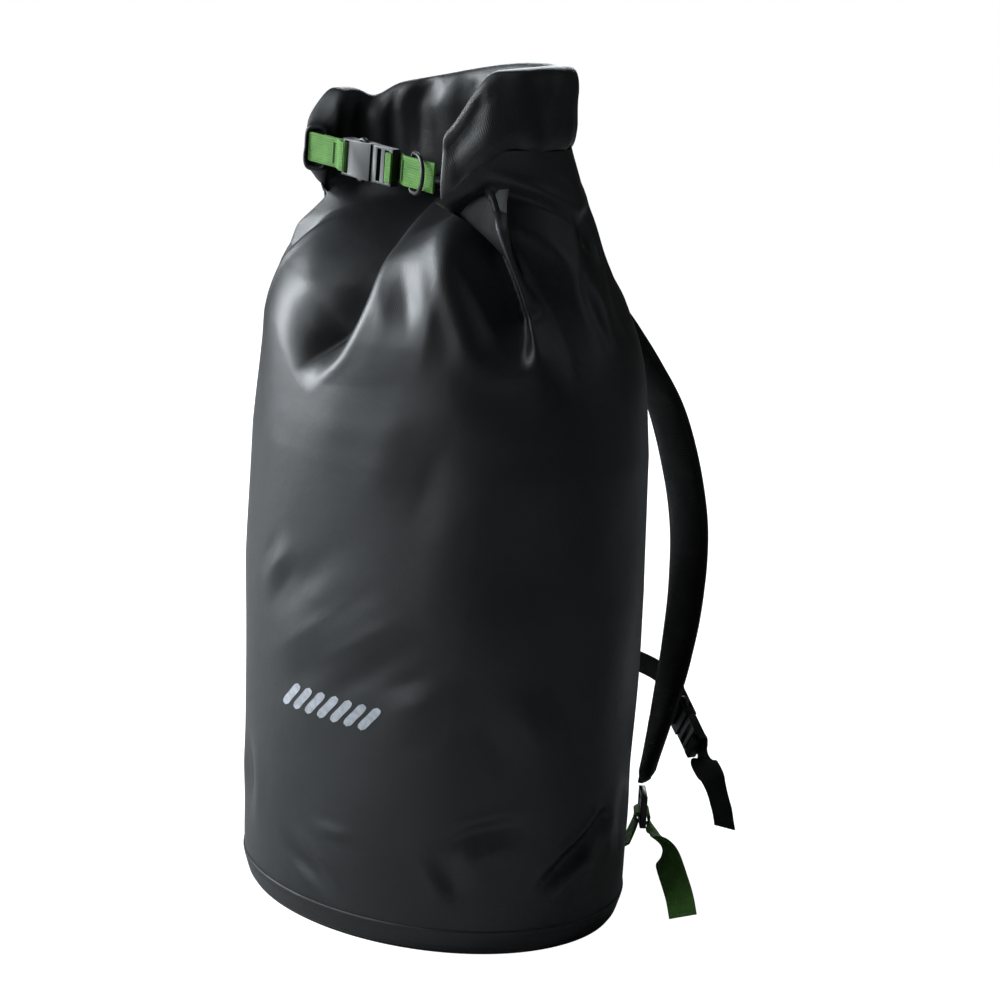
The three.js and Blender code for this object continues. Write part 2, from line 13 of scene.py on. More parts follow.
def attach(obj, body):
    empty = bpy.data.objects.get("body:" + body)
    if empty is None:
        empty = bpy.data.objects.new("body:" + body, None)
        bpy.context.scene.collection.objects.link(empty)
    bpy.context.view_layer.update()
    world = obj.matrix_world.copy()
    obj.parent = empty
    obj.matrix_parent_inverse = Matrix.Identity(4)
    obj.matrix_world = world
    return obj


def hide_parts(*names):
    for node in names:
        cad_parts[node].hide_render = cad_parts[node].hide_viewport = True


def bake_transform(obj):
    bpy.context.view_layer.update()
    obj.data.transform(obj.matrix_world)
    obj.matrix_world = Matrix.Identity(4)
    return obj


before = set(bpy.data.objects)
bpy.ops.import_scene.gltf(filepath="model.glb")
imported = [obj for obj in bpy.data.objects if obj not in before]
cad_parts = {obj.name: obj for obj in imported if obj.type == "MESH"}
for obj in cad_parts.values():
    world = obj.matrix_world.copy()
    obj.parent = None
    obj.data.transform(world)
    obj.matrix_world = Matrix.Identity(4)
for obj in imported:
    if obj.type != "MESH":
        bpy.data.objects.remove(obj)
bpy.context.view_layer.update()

# ------------------------------------------------------------------ sizes, in metres
WEBBING = 0.025
WEB_T = 0.0018
LOOP_GAP = 0.0009
SPLIT_X = -0.013  # where the two halves of the roll bend apart

# The filled tube: height, half width, half depth and centre's y.
RINGS = [
    (0.001, 0.179, 0.144, 0.0),
    (0.024, 0.186, 0.150, 0.0),
    (0.120, 0.187, 0.150, 0.0),
    (0.300, 0.190, 0.152, 0.0),
    (0.420, 0.187, 0.150, 0.0),
    (0.520, 0.178, 0.142, -0.002),
    (0.600, 0.164, 0.128, -0.008),
    (0.660, 0.150, 0.112, -0.014),
]
NECK_START = 0.470
NECK_TOP = 0.6405
STRAP_DROP = 0.055

# The rolled mouth's ellipse.
ROLL_A, ROLL_B, ROLL_Y = 0.118, 0.070, -0.035
ROLL_THICK = 0.022
ROLL_FOOT, ROLL_TOP, ROLL_SLOPE = 0.6405, 0.732, 0.155
MOUTH_HALF = 0.0095
LEFT_END, RIGHT_END = math.radians(201), math.radians(-65)
MOUTH_LEFT, MOUTH_RIGHT = LEFT_END - 0.14, RIGHT_END + 0.1
TURN_SHARE, LEFT_SHARE = 0.022, 0.209
RIGHT_SHARE = LEFT_SHARE + 0.5
BACK_RIGHT = -0.147
RIM_LIFT = 0.050  # how much higher the roll sits on the fabric at its +X side

# The closing strap's frame.
PIVOT = np.array([-0.013, 0.046, 0.0])
STRAP_TURN = math.radians(-12)
STRAP_REACH, STRAP_Z = 0.128, 0.662
STRAP_LEFT, STRAP_RIGHT = -0.0753, 0.0905
BUCKLE_LEFT, BUCKLE_LENGTH, BUCKLE_THICK, BUCKLE_BAR = -0.024, 0.037, 0.011, 0.003
PLUG_LENGTH, PLUG_THICK, GAP = 0.027, 0.008, 0.0003
DEE_S, DEE_OFFSET, DEE_HALF, DEE_LEG, DEE_REST = 0.058, -0.003, 0.016, 0.010, 20
DEE_WIRE, DEE_CORNER = 0.0018, 0.0032

# The back.
LIE = 0.0016
PAD_WIDTH, PAD_HEIGHT, PAD_Z, PAD_THICK, PAD_CORNER = 0.210, 0.384, 0.262, 0.010, 0.036
YOKE_WIDTH, YOKE_HEIGHT, YOKE_Z, YOKE_THICK, YOKE_CORNER = 0.190, 0.050, 0.528, 0.003, 0.010
HAUL_HALF, HAUL_Z, HAUL_REACH, HAUL_STAND = 0.040, 0.518, 0.030, 0.0045
STRAP_WIDTH, STRAP_THICK = 0.054, 0.009
SHOULDER_PATH = [
    (0.065, 0.123, 0.551, 19),
    (0.069, 0.133, 0.535, 19),
    (0.077, 0.147, 0.515, 18),
    (0.088, 0.170, 0.481, 16),
    (0.101, 0.191, 0.440, 16),
    (0.114, 0.206, 0.382, 18),
    (0.124, 0.212, 0.322, 22),
    (0.131, 0.203, 0.262, 28),
    (0.138, 0.182, 0.210, 36),
    (0.145, 0.153, 0.160, 46),
    (0.152, 0.117, 0.105, 53),
]
LOCK_AT, LOCK_TURN, LOCK_HEIGHT, LOCK_THICK = (0.153, 0.115, 0.080), 53, 0.030, 0.006
TAIL_PATH = [
    (0.166, 0.116, 0.060),
    (0.177, 0.108, 0.057),
    (0.192, 0.095, 0.053),
    (0.211, 0.079, 0.042),
    (0.226, 0.069, 0.027),
    (0.235, 0.062, 0.014),
]
TAIL_ACROSS = np.array([0.71, 0.63, 0.34])
CHEST_AT, CHEST_DROP, CHEST_TURN = (0.144, 0.187, 0.150), -34, -28
CHEST_PATH = [
    (-0.131, 0.184, 0.166),
    (-0.112, 0.191, 0.167),
    (-0.070, 0.192, 0.168),
    (0.0, 0.190, 0.169),
    (0.050, 0.199, 0.186),
]
CHEST_TAIL_PATH = [(0.193, 0.199, 0.046), (0.190, 0.194, 0.068), (0.184, 0.186, 0.094)]


# ------------------------------------------------------------------ small helpers
def smooth(t):
    t = np.clip(t, 0.0, 1.0)
    return t * t * (3 - 2 * t)


def unit(v):
    v = np.asarray(v, float)
    return v / np.maximum(np.linalg.norm(v, axis=-1, keepdims=True), 1e-12)


def squared(value, power):
    """A sine or cosine pushed towards a square wave by a power below 1."""
    return math.copysign(abs(value) ** power, value)


def distances(points):
    """How far along a line each of its points is."""
    return np.r_[0, np.cumsum(np.linalg.norm(np.diff(points, axis=0), axis=1))]


def between(where, known, table):
    """The table's rows, read off at other distances than the known ones."""
    return np.stack([np.interp(where, known, column) for column in np.asarray(table).T], -1)


def strap_frame(curve, directions):
    """The unit vectors along, across and outwards from a strap at each of its points."""
    along = unit(np.gradient(curve, axis=0))
    across = unit(directions - along * (directions * along).sum(1, keepdims=True))
    return along, across, np.cross(along, across)


@contextmanager
def editing(obj):
    """Opens an object's mesh as a bmesh, and writes it back."""
    work = bmesh.new()
    work.from_mesh(obj.data)
    yield work
    work.to_mesh(obj.data)
    work.free()


def new_object(name, vertices, faces, material=None, uv=None):
    """A smooth-shaded mesh; uv holds one (across, along) pair in metres for each corner of each face."""
    mesh = bpy.data.meshes.new(name)
    mesh.from_pydata([tuple(map(float, v)) for v in vertices], [], [tuple(map(int, f)) for f in faces])
    if uv is not None:
        mesh.uv_layers.new(name="cloth").data.foreach_set("uv", np.asarray(uv, np.float32).ravel())
    mesh.update()
    mesh.shade_smooth()
    obj = bpy.data.objects.new(name, mesh)
    bpy.context.scene.collection.objects.link(obj)
    if material is not None:
        mesh.materials.append(material)
    return obj


def grid(points, wrap_u=False, wrap_v=False, u_lengths=None, v_lengths=None):
    """Vertices, faces and corner UVs of a grid of points [rows][columns]; u runs along a row."""
    points = np.asarray(points, float)
    rows, columns = points.shape[:2]
    u_lengths = np.arange(columns + 1) if u_lengths is None else np.asarray(u_lengths)
    v_lengths = np.arange(rows + 1) if v_lengths is None else np.asarray(v_lengths)
    i, j = np.meshgrid(np.arange(columns if wrap_u else columns - 1), np.arange(rows if wrap_v else rows - 1))
    i, j = i.ravel(), j.ravel()
    right, up = (i + 1) % columns, (j + 1) % rows
    faces = np.stack([j * columns + i, j * columns + right, up * columns + right, up * columns + i], 1)
    u = np.stack([u_lengths[i], u_lengths[i + 1], u_lengths[i + 1], u_lengths[i]], 1)
    v = np.stack([v_lengths[j], v_lengths[j], v_lengths[j + 1], v_lengths[j + 1]], 1)
    return points.reshape(-1, 3), faces, np.stack([u, v], 2).reshape(-1, 2)


def coordinates(obj):
    co = np.empty(len(obj.data.vertices) * 3, np.float32)
    obj.data.vertices.foreach_get("co", co)
    return co.reshape(-1, 3).astype(float)


def bake_modifiers(obj):
    """Applies obj's modifiers to its mesh."""
    graph = bpy.context.evaluated_depsgraph_get()
    made = bpy.data.meshes.new_from_object(obj.evaluated_get(graph))
    obj.modifiers.clear()
    obj.data = made


def resample(points, count):
    """A centripetal Catmull-Rom curve through points, at count even steps."""
    points = np.asarray(points, float)
    ends = np.vstack([2 * points[0] - points[1], points, 2 * points[-1] - points[-2]])
    knots = np.cumsum(np.r_[0, np.maximum(np.linalg.norm(np.diff(ends, axis=0), axis=1), 1e-6) ** 0.5])
    fine = []
    for k in range(1, len(ends) - 2):
        t = np.linspace(knots[k], knots[k + 1], 24, endpoint=k == len(ends) - 3)[:, None]
        p, q = ends[k - 1 : k + 3], knots[k - 1 : k + 3]
        a = [((q[n + 1] - t) * p[n] + (t - q[n]) * p[n + 1]) / (q[n + 1] - q[n]) for n in range(3)]
        b = [((q[n + 2] - t) * a[n] + (t - q[n]) * a[n + 1]) / (q[n + 2] - q[n]) for n in range(2)]
        fine.append(((q[2] - t) * b[0] + (t - q[1]) * b[1]) / (q[2] - q[1]))
    fine = np.vstack(fine)
    length = distances(fine)
    at = np.linspace(0, length[-1], count)
    return between(at, length, fine), at


# ------------------------------------------------------------------ the camera, floor and light
def make_camera():
    azimuth, distance, height = math.radians(37), 2.05, 0.880
    target = Vector((0.0383, 0.0289, 0.3637))
    camera = bpy.data.objects.new("camera", bpy.data.cameras.new("camera"))
    bpy.context.scene.collection.objects.link(camera)
    camera.data.lens = 86
    camera.data.clip_end = 50
    camera.location = (math.sin(azimuth) * distance, -math.cos(azimuth) * distance, height)
    look = (target - camera.location).to_track_quat("-Z", "Y")
    roll = Matrix.Rotation(math.radians(2.7), 4, "Z")
    camera.matrix_world = Matrix.Translation(camera.location) @ look.to_matrix().to_4x4() @ roll
    bpy.context.scene.camera = camera


def area_light(name, place, target, width, height, power):
    light = bpy.data.lights.new(name, "AREA")
    light.color = (0.90, 0.96, 1.0)
    light.shape = "RECTANGLE"
    light.size, light.size_y, light.energy = width, height, power
    obj = bpy.data.objects.new(name, light)
    bpy.context.scene.collection.objects.link(obj)
    obj.location = place
    obj.rotation_euler = (Vector(target) - Vector(place)).to_track_quat("-Z", "Y").to_euler()


def make_floor():
    floor = new_object("floor", [(-9, -9, 0), (9, -9, 0), (9, 9, 0), (-9, 9, 0)], [(0, 1, 2, 3)])
    paint = bpy.data.materials.new("floor")
    paint.use_nodes = True
    tree = paint.node_tree
    shader = tree.nodes["Principled BSDF"]
    shader.inputs["Base Color"].default_value = (0.35, 0.35, 0.35, 1)
    shader.inputs["Roughness"].default_value = 0.9
    shader.inputs["Emission Color"].default_value = (1, 1, 1, 1)
    path = tree.nodes.new("ShaderNodeLightPath")
    tree.links.new(path.outputs["Is Camera Ray"], shader.inputs["Emission Strength"])
    floor.data.materials.append(paint)


def make_world():
    """A studio that is white to the camera, and lights the bag only dimly."""
    world = bpy.data.worlds.new("studio")
    world.use_nodes = True
    tree = world.node_tree
    dim = tree.nodes["Background"]
    dim.inputs["Color"].default_value = (1, 1, 1, 1)
    dim.inputs["Strength"].default_value = 0.035
    bright = tree.nodes.new("ShaderNodeBackground")
    bright.inputs["Color"].default_value = (1, 1, 1, 1)
    path = tree.nodes.new("ShaderNodeLightPath")
    mix = tree.nodes.new("ShaderNodeMixShader")
    tree.links.new(path.outputs["Is Camera Ray"], mix.inputs["Fac"])
    tree.links.new(dim.outputs["Background"], mix.inputs[1])
    tree.links.new(bright.outputs["Background"], mix.inputs[2])
    tree.links.new(mix.outputs["Shader"], tree.nodes["World Output"].inputs["Surface"])
    bpy.context.scene.world = world


def make_studio():
    make_floor()
    make_world()
    area_light("key", (-2.3, -0.90, 1.30), (0, 0, 0.48), 1.0, 1.7, 124)
    area_light("front", (-0.85, -2.2, 1.25), (0, 0, 0.40), 0.8, 1.4, 26)
    area_light("top", (-0.5, -0.9, 2.3), (0, 0, 0.6), 0.7, 0.7, 6)
    area_light("rim", (2.2, 1.2, 1.6), (0.1, 0.0, 0.5), 0.4, 1.2, 3)
    area_light("back", (-1.5, 2.3, 1.4), (0, 0, 0.4), 1.0, 1.6, 30)
    bpy.context.scene.view_settings.view_transform = "Standard"


# ------------------------------------------------------------------ materials
class Nodes:
    """Short ways to wire a material's nodes."""

    def __init__(self, name, roughness):
        self.material = bpy.data.materials.new(name)
        self.material.use_nodes = True
        self.tree = self.material.node_tree
        self.shader = self.tree.nodes["Principled BSDF"]
        self.shader.inputs["Roughness"].default_value = roughness

    def plug(self, socket, value):
        if isinstance(value, bpy.types.NodeSocket):
            self.tree.links.new(value, socket)
        else:
            socket.default_value = value

    def math(self, operation, a, b=0.0):
        node = self.tree.nodes.new("ShaderNodeMath")
        node.operation = operation
        self.plug(node.inputs[0], a)
        self.plug(node.inputs[1], b)
        return node.outputs[0]

    def cloth_axes(self):
        """How far across and along the cloth a point is, in metres."""
        where = self.tree.nodes.new("ShaderNodeUVMap")
        where.uv_map = "cloth"
        split = self.tree.nodes.new("ShaderNodeSeparateXYZ")
        self.tree.links.new(where.outputs["UV"], split.inputs["Vector"])
        return split.outputs["X"], split.outputs["Y"]

    def noise(self, scale, detail=3.0, roughness=0.5):
        place = self.tree.nodes.new("ShaderNodeTexCoord")
        node = self.tree.nodes.new("ShaderNodeTexNoise")
        self.tree.links.new(place.outputs["Object"], node.inputs["Vector"])
        node.inputs["Scale"].default_value = scale
        node.inputs["Detail"].default_value = detail
        node.inputs["Roughness"].default_value = roughness
        return node.outputs["Fac"]

    def wave(self, distance, period):
        return self.math("SINE", self.math("MULTIPLY", distance, 2 * math.pi / period))

    def ramp(self, factor, low, high, start=0.0, end=1.0):
        node = self.tree.nodes.new("ShaderNodeValToRGB")
        node.color_ramp.elements[0].position = start
        node.color_ramp.elements[1].position = end
        node.color_ramp.elements[0].color = (*low, 1)
        node.color_ramp.elements[1].color = (*high, 1)
        self.tree.links.new(factor, node.inputs["Fac"])
        return node.outputs["Color"]

    def spread(self, factor, low, high):
        node = self.tree.nodes.new("ShaderNodeMapRange")
        self.tree.links.new(factor, node.inputs["Value"])
        node.inputs["To Min"].default_value = low
        node.inputs["To Max"].default_value = high
        return node.outputs["Result"]

    def bump(self, height, distance, strength=1.0, under=None):
        node = self.tree.nodes.new("ShaderNodeBump")
        node.inputs["Distance"].default_value = distance
        node.inputs["Strength"].default_value = strength
        self.tree.links.new(height, node.inputs["Height"])
        if under is not None:
            self.tree.links.new(under, node.inputs["Normal"])
        return node.outputs["Normal"]

    def finish(self, color, roughness=None, normal=None, **sockets):
        self.tree.links.new(color, self.shader.inputs["Base Color"])
        if roughness is not None:
            self.tree.links.new(roughness, self.shader.inputs["Roughness"])
        if normal is not None:
            self.tree.links.new(normal, self.shader.inputs["Normal"])
        for name, value in sockets.items():
            self.shader.inputs[name.replace("_", " ")].default_value = value
        return self.material


def tarpaulin(name, dark, light):
    """Coated fabric: a faint plain weave under a satin skin, with soft unevenness and slight scuffing."""
    n = Nodes(name, 0.42)
    across, along = n.cloth_axes()
    threads = n.math("MULTIPLY", n.wave(across, 0.0016), n.wave(along, 0.0016))
    lumps = n.bump(n.noise(26, 3), 0.0016, 0.5)
    skin = n.bump(n.noise(420, 2), 0.00008, 0.5, lumps)
    normal = n.bump(threads, 0.00005, 1.0, skin)
    scuffs = n.noise(9, 6, 0.62)
    color = n.ramp(scuffs, dark, light, 0.35, 0.75)
    return n.finish(color, n.spread(scuffs, 0.36, 0.46), normal, Specular_IOR_Level=0.55)


def webbing_material(name, dark, light):
    """Woven tape: ribs across it, the warp running lengthwise, and a thicker selvedge."""
    n = Nodes(name, 0.75)
    across, along = n.cloth_axes()
    warp = n.wave(across, 0.0021)
    weft = n.wave(n.math("ADD", along, n.math("MULTIPLY", warp, 0.0002)), 0.0013)
    threads = n.math("ADD", n.math("MULTIPLY", warp, 0.6), weft)
    fuzz = n.noise(900, 2)
    normal = n.bump(threads, 0.00022, 1.0, n.bump(fuzz, 0.0002, 0.4))
    # The colour follows the weave's height: darker in the grooves between threads as painted shade, mixed
    # with random tone from the noise.
    shade = n.math("ADD", n.math("MULTIPLY", threads, 0.22), n.noise(60, 4))
    return n.finish(n.ramp(shade, dark, light, 0.2, 0.85), None, normal, Sheen_Weight=0.08)


def mesh_fabric(name, dark, light):
    """Open spacer mesh over foam: a grid of small holes between raised threads, painted darker in the holes
    as painted shade.
    """
    n = Nodes(name, 0.85)
    across, along = n.cloth_axes()
    holes = n.math("MULTIPLY", n.wave(across, 0.0036), n.wave(along, 0.0030))
    cells = n.math("ABSOLUTE", holes)
    normal = n.bump(cells, 0.0005, 0.9, n.bump(n.noise(700, 2), 0.0002, 0.5))
    # The colour is darker where the cells' height is low: painted shade in the holes, mixed with random tone
    # from the noise.
    shade = n.math("ADD", n.math("MULTIPLY", cells, 0.5), n.math("MULTIPLY", n.noise(40, 4), 0.5))
    return n.finish(n.ramp(shade, dark, light, 0.15, 0.85), None, normal, Sheen_Weight=0.12)


def plastic(name, dark, light):
    """Moulded nylon: a fine spark-eroded grain with slightly polished patches."""
    n = Nodes(name, 0.4)
    grain = n.noise(2400, 2)
    patches = n.noise(60, 4)
    normal = n.bump(grain, 0.00006, 0.6)
    return n.finish(n.ramp(patches, dark, light, 0.3, 0.8), n.spread(patches, 0.32, 0.48), normal)


def print_material(name):
    """Screen-printed ink, slightly broken by the cloth under it."""
    n = Nodes(name, 0.55)
    wear = n.noise(180, 4)
    color = n.ramp(wear, (0.26, 0.28, 0.31), (0.42, 0.44, 0.48), 0.25, 0.6)
    return n.finish(color, None, n.bump(wear, 0.0001, 0.5))


TARP = tarpaulin("tarpaulin", (0.0085, 0.0092, 0.0108), (0.0125, 0.0134, 0.0156))
TARP_EDGE = tarpaulin("tarpaulin_edge", (0.006, 0.0065, 0.0075), (0.010, 0.0105, 0.012))
GREEN = webbing_material("green_webbing", (0.050, 0.165, 0.020), (0.125, 0.330, 0.050))
BLACK_WEB = webbing_material("black_webbing", (0.0030, 0.0030, 0.0034), (0.0085, 0.0085, 0.009))
MESH_FOAM = mesh_fabric("mesh_foam", (0.0022, 0.0022, 0.0025), (0.0085, 0.0085, 0.0095))
BINDING = webbing_material("binding", (0.0026, 0.0026, 0.003), (0.007, 0.007, 0.0078))
PLASTIC = plastic("black_plastic", (0.006, 0.0062, 0.007), (0.011, 0.0113, 0.0125))
THREAD = webbing_material("thread", (0.010, 0.010, 0.011), (0.024, 0.024, 0.026))
GREEN_THREAD = webbing_material("green_thread", (0.04, 0.12, 0.02), (0.09, 0.24, 0.05))
PRINT = print_material("print")


# ------------------------------------------------------------------ the tube's shape
def ring_at(z):
    """The tube's half width, half depth and centre's y at a height."""
    heights = [r[0] for r in RINGS]
    return [np.interp(z, heights, [r[i] for r in RINGS]) for i in (1, 2, 3)]


def roll_point(angle, offset):
    """A point of the roll's ellipse in plan, moved outwards."""
    normal = unit([math.cos(angle) / ROLL_A, math.sin(angle) / ROLL_B])
    return np.array([ROLL_A * math.cos(angle), ROLL_Y + ROLL_B * math.sin(angle)]) + normal * offset


def mouth_tip(end, sweep, t):
    """The half turn where the flattened mouth folds back on itself, at one end of the C."""
    centre = roll_point(end, 0)
    outward = roll_point(end, 1) - centre
    ahead = np.array([-outward[1], outward[0]]) * sweep
    angle = t * math.pi
    return centre + MOUTH_HALF * (outward * math.cos(angle) * sweep + ahead * math.sin(angle))


def mouth_point(share):
    """The flattened mouth in plan: share runs once round, from the back over the -X side to the front."""
    share %= 1.0
    half_turn = math.pi / 2
    if share < LEFT_SHARE - TURN_SHARE:
        t = share / (LEFT_SHARE - TURN_SHARE)
        return roll_point(half_turn + t * (MOUTH_LEFT - half_turn), MOUTH_HALF)
    if share < LEFT_SHARE + TURN_SHARE:
        return mouth_tip(MOUTH_LEFT, 1, (share - LEFT_SHARE + TURN_SHARE) / (2 * TURN_SHARE))
    if share < RIGHT_SHARE - TURN_SHARE:
        t = (share - LEFT_SHARE - TURN_SHARE) / (RIGHT_SHARE - LEFT_SHARE - 2 * TURN_SHARE)
        return roll_point(MOUTH_LEFT + t * (MOUTH_RIGHT - MOUTH_LEFT), -MOUTH_HALF)
    if share < RIGHT_SHARE + TURN_SHARE:
        return mouth_tip(MOUTH_RIGHT, -1, (share - RIGHT_SHARE + TURN_SHARE) / (2 * TURN_SHARE))
    t = (share - RIGHT_SHARE - TURN_SHARE) / (1 - RIGHT_SHARE - TURN_SHARE)
    return roll_point(MOUTH_RIGHT + t * (half_turn - MOUTH_RIGHT), MOUTH_HALF)


def rim_lift(x):
    """How much the roll's foot rises at x."""
    return RIM_LIFT * float(smooth((x - 0.050) / 0.062))


def tube_point(share, z):
    """A point of the tube before its folds. share runs once round, from the back over the -X side."""
    a, b, y0 = ring_at(z)
    angle = math.pi / 2 + share * 2 * math.pi
    x, y = a * math.cos(angle), y0 + b * math.sin(angle)
    if z <= NECK_START:
        return np.array([x, y, z])
    mx, my = mouth_point(share)
    late = 3.05 - 0.95 * math.cos((share - BACK_RIGHT) * 2 * math.pi)
    rise = (z - NECK_START) / (NECK_TOP - NECK_START)
    gather = rise**late
    lift = rim_lift(mx) * rise * rise - STRAP_DROP * mx * rise
    return np.array([x + (mx - x) * gather, y + (my - y) * gather, z + lift])


# ------------------------------------------------------------------ folds in the tarpaulin
# Each fold is a line drawn on an upright plane that faces the given way, in degrees from the front towards
# +X, as (along the plane, height) points. It has the reach of its two banks in metres, on the left and on the
# right of a line that runs down, its depth, and how high its banks' crests stand, as a share of the depth. A
# negative depth is a ridge.
FOLDS = [
    # the two deep pleats that run down from the ends of the roll
    (0, [(-0.040, 0.645), (-0.034, 0.618), (-0.022, 0.593), (-0.013, 0.56), (-0.022, 0.526),
         (-0.042, 0.505), (-0.064, 0.482)],
     0.036, 0.013, 0.042, 0.08),
    (20, [(0.048, 0.652), (0.056, 0.622), (0.067, 0.600), (0.080, 0.574), (0.090, 0.550),
          (0.097, 0.528), (0.102, 0.506)],
     0.021, 0.0065, 0.034, 0.20),
    (20, [(0.098, 0.562), (0.104, 0.552), (0.112, 0.547)], 0.004, 0.006, 0.004, 0.2),
    # the tuck below the left end of the roll
    (-20, [(-0.146, 0.572), (-0.116, 0.579), (-0.099, 0.592), (-0.088, 0.614)], 0.010, 0.009, 0.006, 0.3),
    # shallow valleys down the middle of the front
    (10, [(0.004, 0.596), (0.015, 0.574), (0.025, 0.552), (0.033, 0.522)], 0.013, 0.011, 0.006, 0.3),
    (10, [(0.050, 0.640), (0.050, 0.60), (0.050, 0.55), (0.040, 0.48)], 0.022, 0.022, -0.006, 0.2),
    # folds that fan out over the right shoulder
    (45, [(-0.006, 0.655), (0.032, 0.645), (0.061, 0.634), (0.083, 0.620), (0.099, 0.602), (0.116, 0.575)],
     0.013, 0.007, 0.009, 0.3),
    (58, [(0.028, 0.664), (0.058, 0.648), (0.078, 0.622), (0.088, 0.590), (0.092, 0.550)],
     0.007, 0.007, -0.006, 0.4),
    (55, [(0.076, 0.640), (0.094, 0.600), (0.106, 0.560), (0.122, 0.515)], 0.012, 0.010, 0.009, 0.3),
    (48, [(0.080, 0.622), (0.096, 0.578), (0.114, 0.540), (0.136, 0.500)], 0.008, 0.011, -0.005, 0.4),
    (40, [(0.045, 0.610), (0.062, 0.575), (0.085, 0.530), (0.100, 0.470)], 0.016, 0.014, 0.006, 0.3),
    # gathers round the sides and back of the neck
    (90, [(0.040, 0.660), (0.048, 0.61), (0.060, 0.555)], 0.011, 0.011, 0.007, 0.3),
    (90, [(0.000, 0.655), (-0.004, 0.60), (-0.016, 0.54)], 0.010, 0.012, 0.006, 0.3),
    (130, [(0.010, 0.660), (0.014, 0.62), (0.012, 0.57)], 0.010, 0.010, 0.006, 0.3),
    (180, [(-0.060, 0.645), (-0.064, 0.61), (-0.070, 0.575)], 0.010, 0.010, 0.006, 0.3),
    (180, [(0.012, 0.640), (0.014, 0.61), (0.010, 0.580)], 0.010, 0.010, 0.005, 0.3),
    (180, [(0.075, 0.645), (0.084, 0.60), (0.100, 0.560)], 0.011, 0.011, 0.007, 0.3),
    (-90, [(0.030, 0.640), (0.020, 0.60), (0.004, 0.55)], 0.011, 0.012, 0.007, 0.3),
    (-90, [(-0.020, 0.640), (-0.030, 0.60), (-0.046, 0.545)], 0.010, 0.011, 0.007, 0.3),
    (-55, [(-0.020, 0.636), (-0.030, 0.60), (-0.034, 0.55), (-0.050, 0.50)], 0.012, 0.012, 0.007, 0.3),
    # creases low down, where the filled tube meets its base
    (20, [(0.040, 0.093), (0.062, 0.104), (0.086, 0.115), (0.139, 0.125)], 0.013, 0.007, 0.0060, 0.3),
    (20, [(0.044, 0.100), (0.052, 0.088), (0.062, 0.072), (0.076, 0.045)], 0.008, 0.013, 0.0055, 0.3),
    (0, [(-0.022, 0.096), (0.006, 0.094), (0.032, 0.095)], 0.005, 0.006, -0.0022, 0.3),
    (50, [(0.122, 0.122), (0.108, 0.105), (0.082, 0.085), (0.054, 0.055)], 0.006, 0.009, 0.0075, 0.4),
    (50, [(0.126, 0.100), (0.104, 0.078), (0.094, 0.045)], 0.008, 0.008, -0.0045, 0.3),
    (0, [(-0.060, 0.082), (-0.047, 0.068), (-0.008, 0.045), (0.020, 0.015)], 0.008, 0.010, 0.0040, 0.5),
    (-60, [(0.020, 0.150), (0.030, 0.10), (0.024, 0.05)], 0.016, 0.016, 0.004, 0.5),
    (80, [(0.080, 0.160), (0.070, 0.10), (0.066, 0.04)], 0.016, 0.016, 0.004, 0.5),
    (-110, [(0.060, 0.140), (0.050, 0.09), (0.052, 0.04)], 0.016, 0.016, 0.004, 0.5),
    # slack across the front panel
    (0, [(-0.100, 0.488), (-0.050, 0.481), (0.0, 0.484), (0.040, 0.489), (0.094, 0.503)],
     0.020, 0.024, 0.0011, 0.5),
    (0, [(-0.040, 0.224), (0.020, 0.266), (0.080, 0.309)], 0.016, 0.019, -0.0060, 0.35),
    (0, [(-0.105, 0.222), (-0.062, 0.245), (-0.005, 0.287), (0.060, 0.345)], 0.018, 0.022, -0.0052, 0.35),
    (-20, [(-0.050, 0.285), (-0.024, 0.312), (0.006, 0.345)], 0.010, 0.010, -0.0030, 0.4),
    (15, [(0.068, 0.480), (0.058, 0.452), (0.044, 0.415), (0.030, 0.360)], 0.026, 0.034, 0.0030, 0.35),
    (30, [(0.024, 0.468), (0.058, 0.488), (0.100, 0.500)], 0.022, 0.020, 0.0030, 0.4),
    (15, [(0.084, 0.250), (0.056, 0.232), (0.000, 0.205)], 0.012, 0.018, -0.0034, 0.4),
    (40, [(0.045, 0.250), (0.072, 0.205), (0.086, 0.160)], 0.018, 0.018, -0.0040, 0.4),
    (35, [(0.090, 0.420), (0.060, 0.340), (0.050, 0.260)], 0.034, 0.034, 0.0036, 0.4),
    # the long soft corner where the front panel turns to the side
    (40, [(0.040, 0.52), (0.022, 0.46), (0.018, 0.40), (0.012, 0.32), (0.003, 0.21), (-0.007, 0.10),
          (-0.010, 0.03)],
     0.070, 0.055, -0.0065, 0.5),
]


SHALLOW = 0.0065  # a fold no deeper than this fades in and out along its whole length


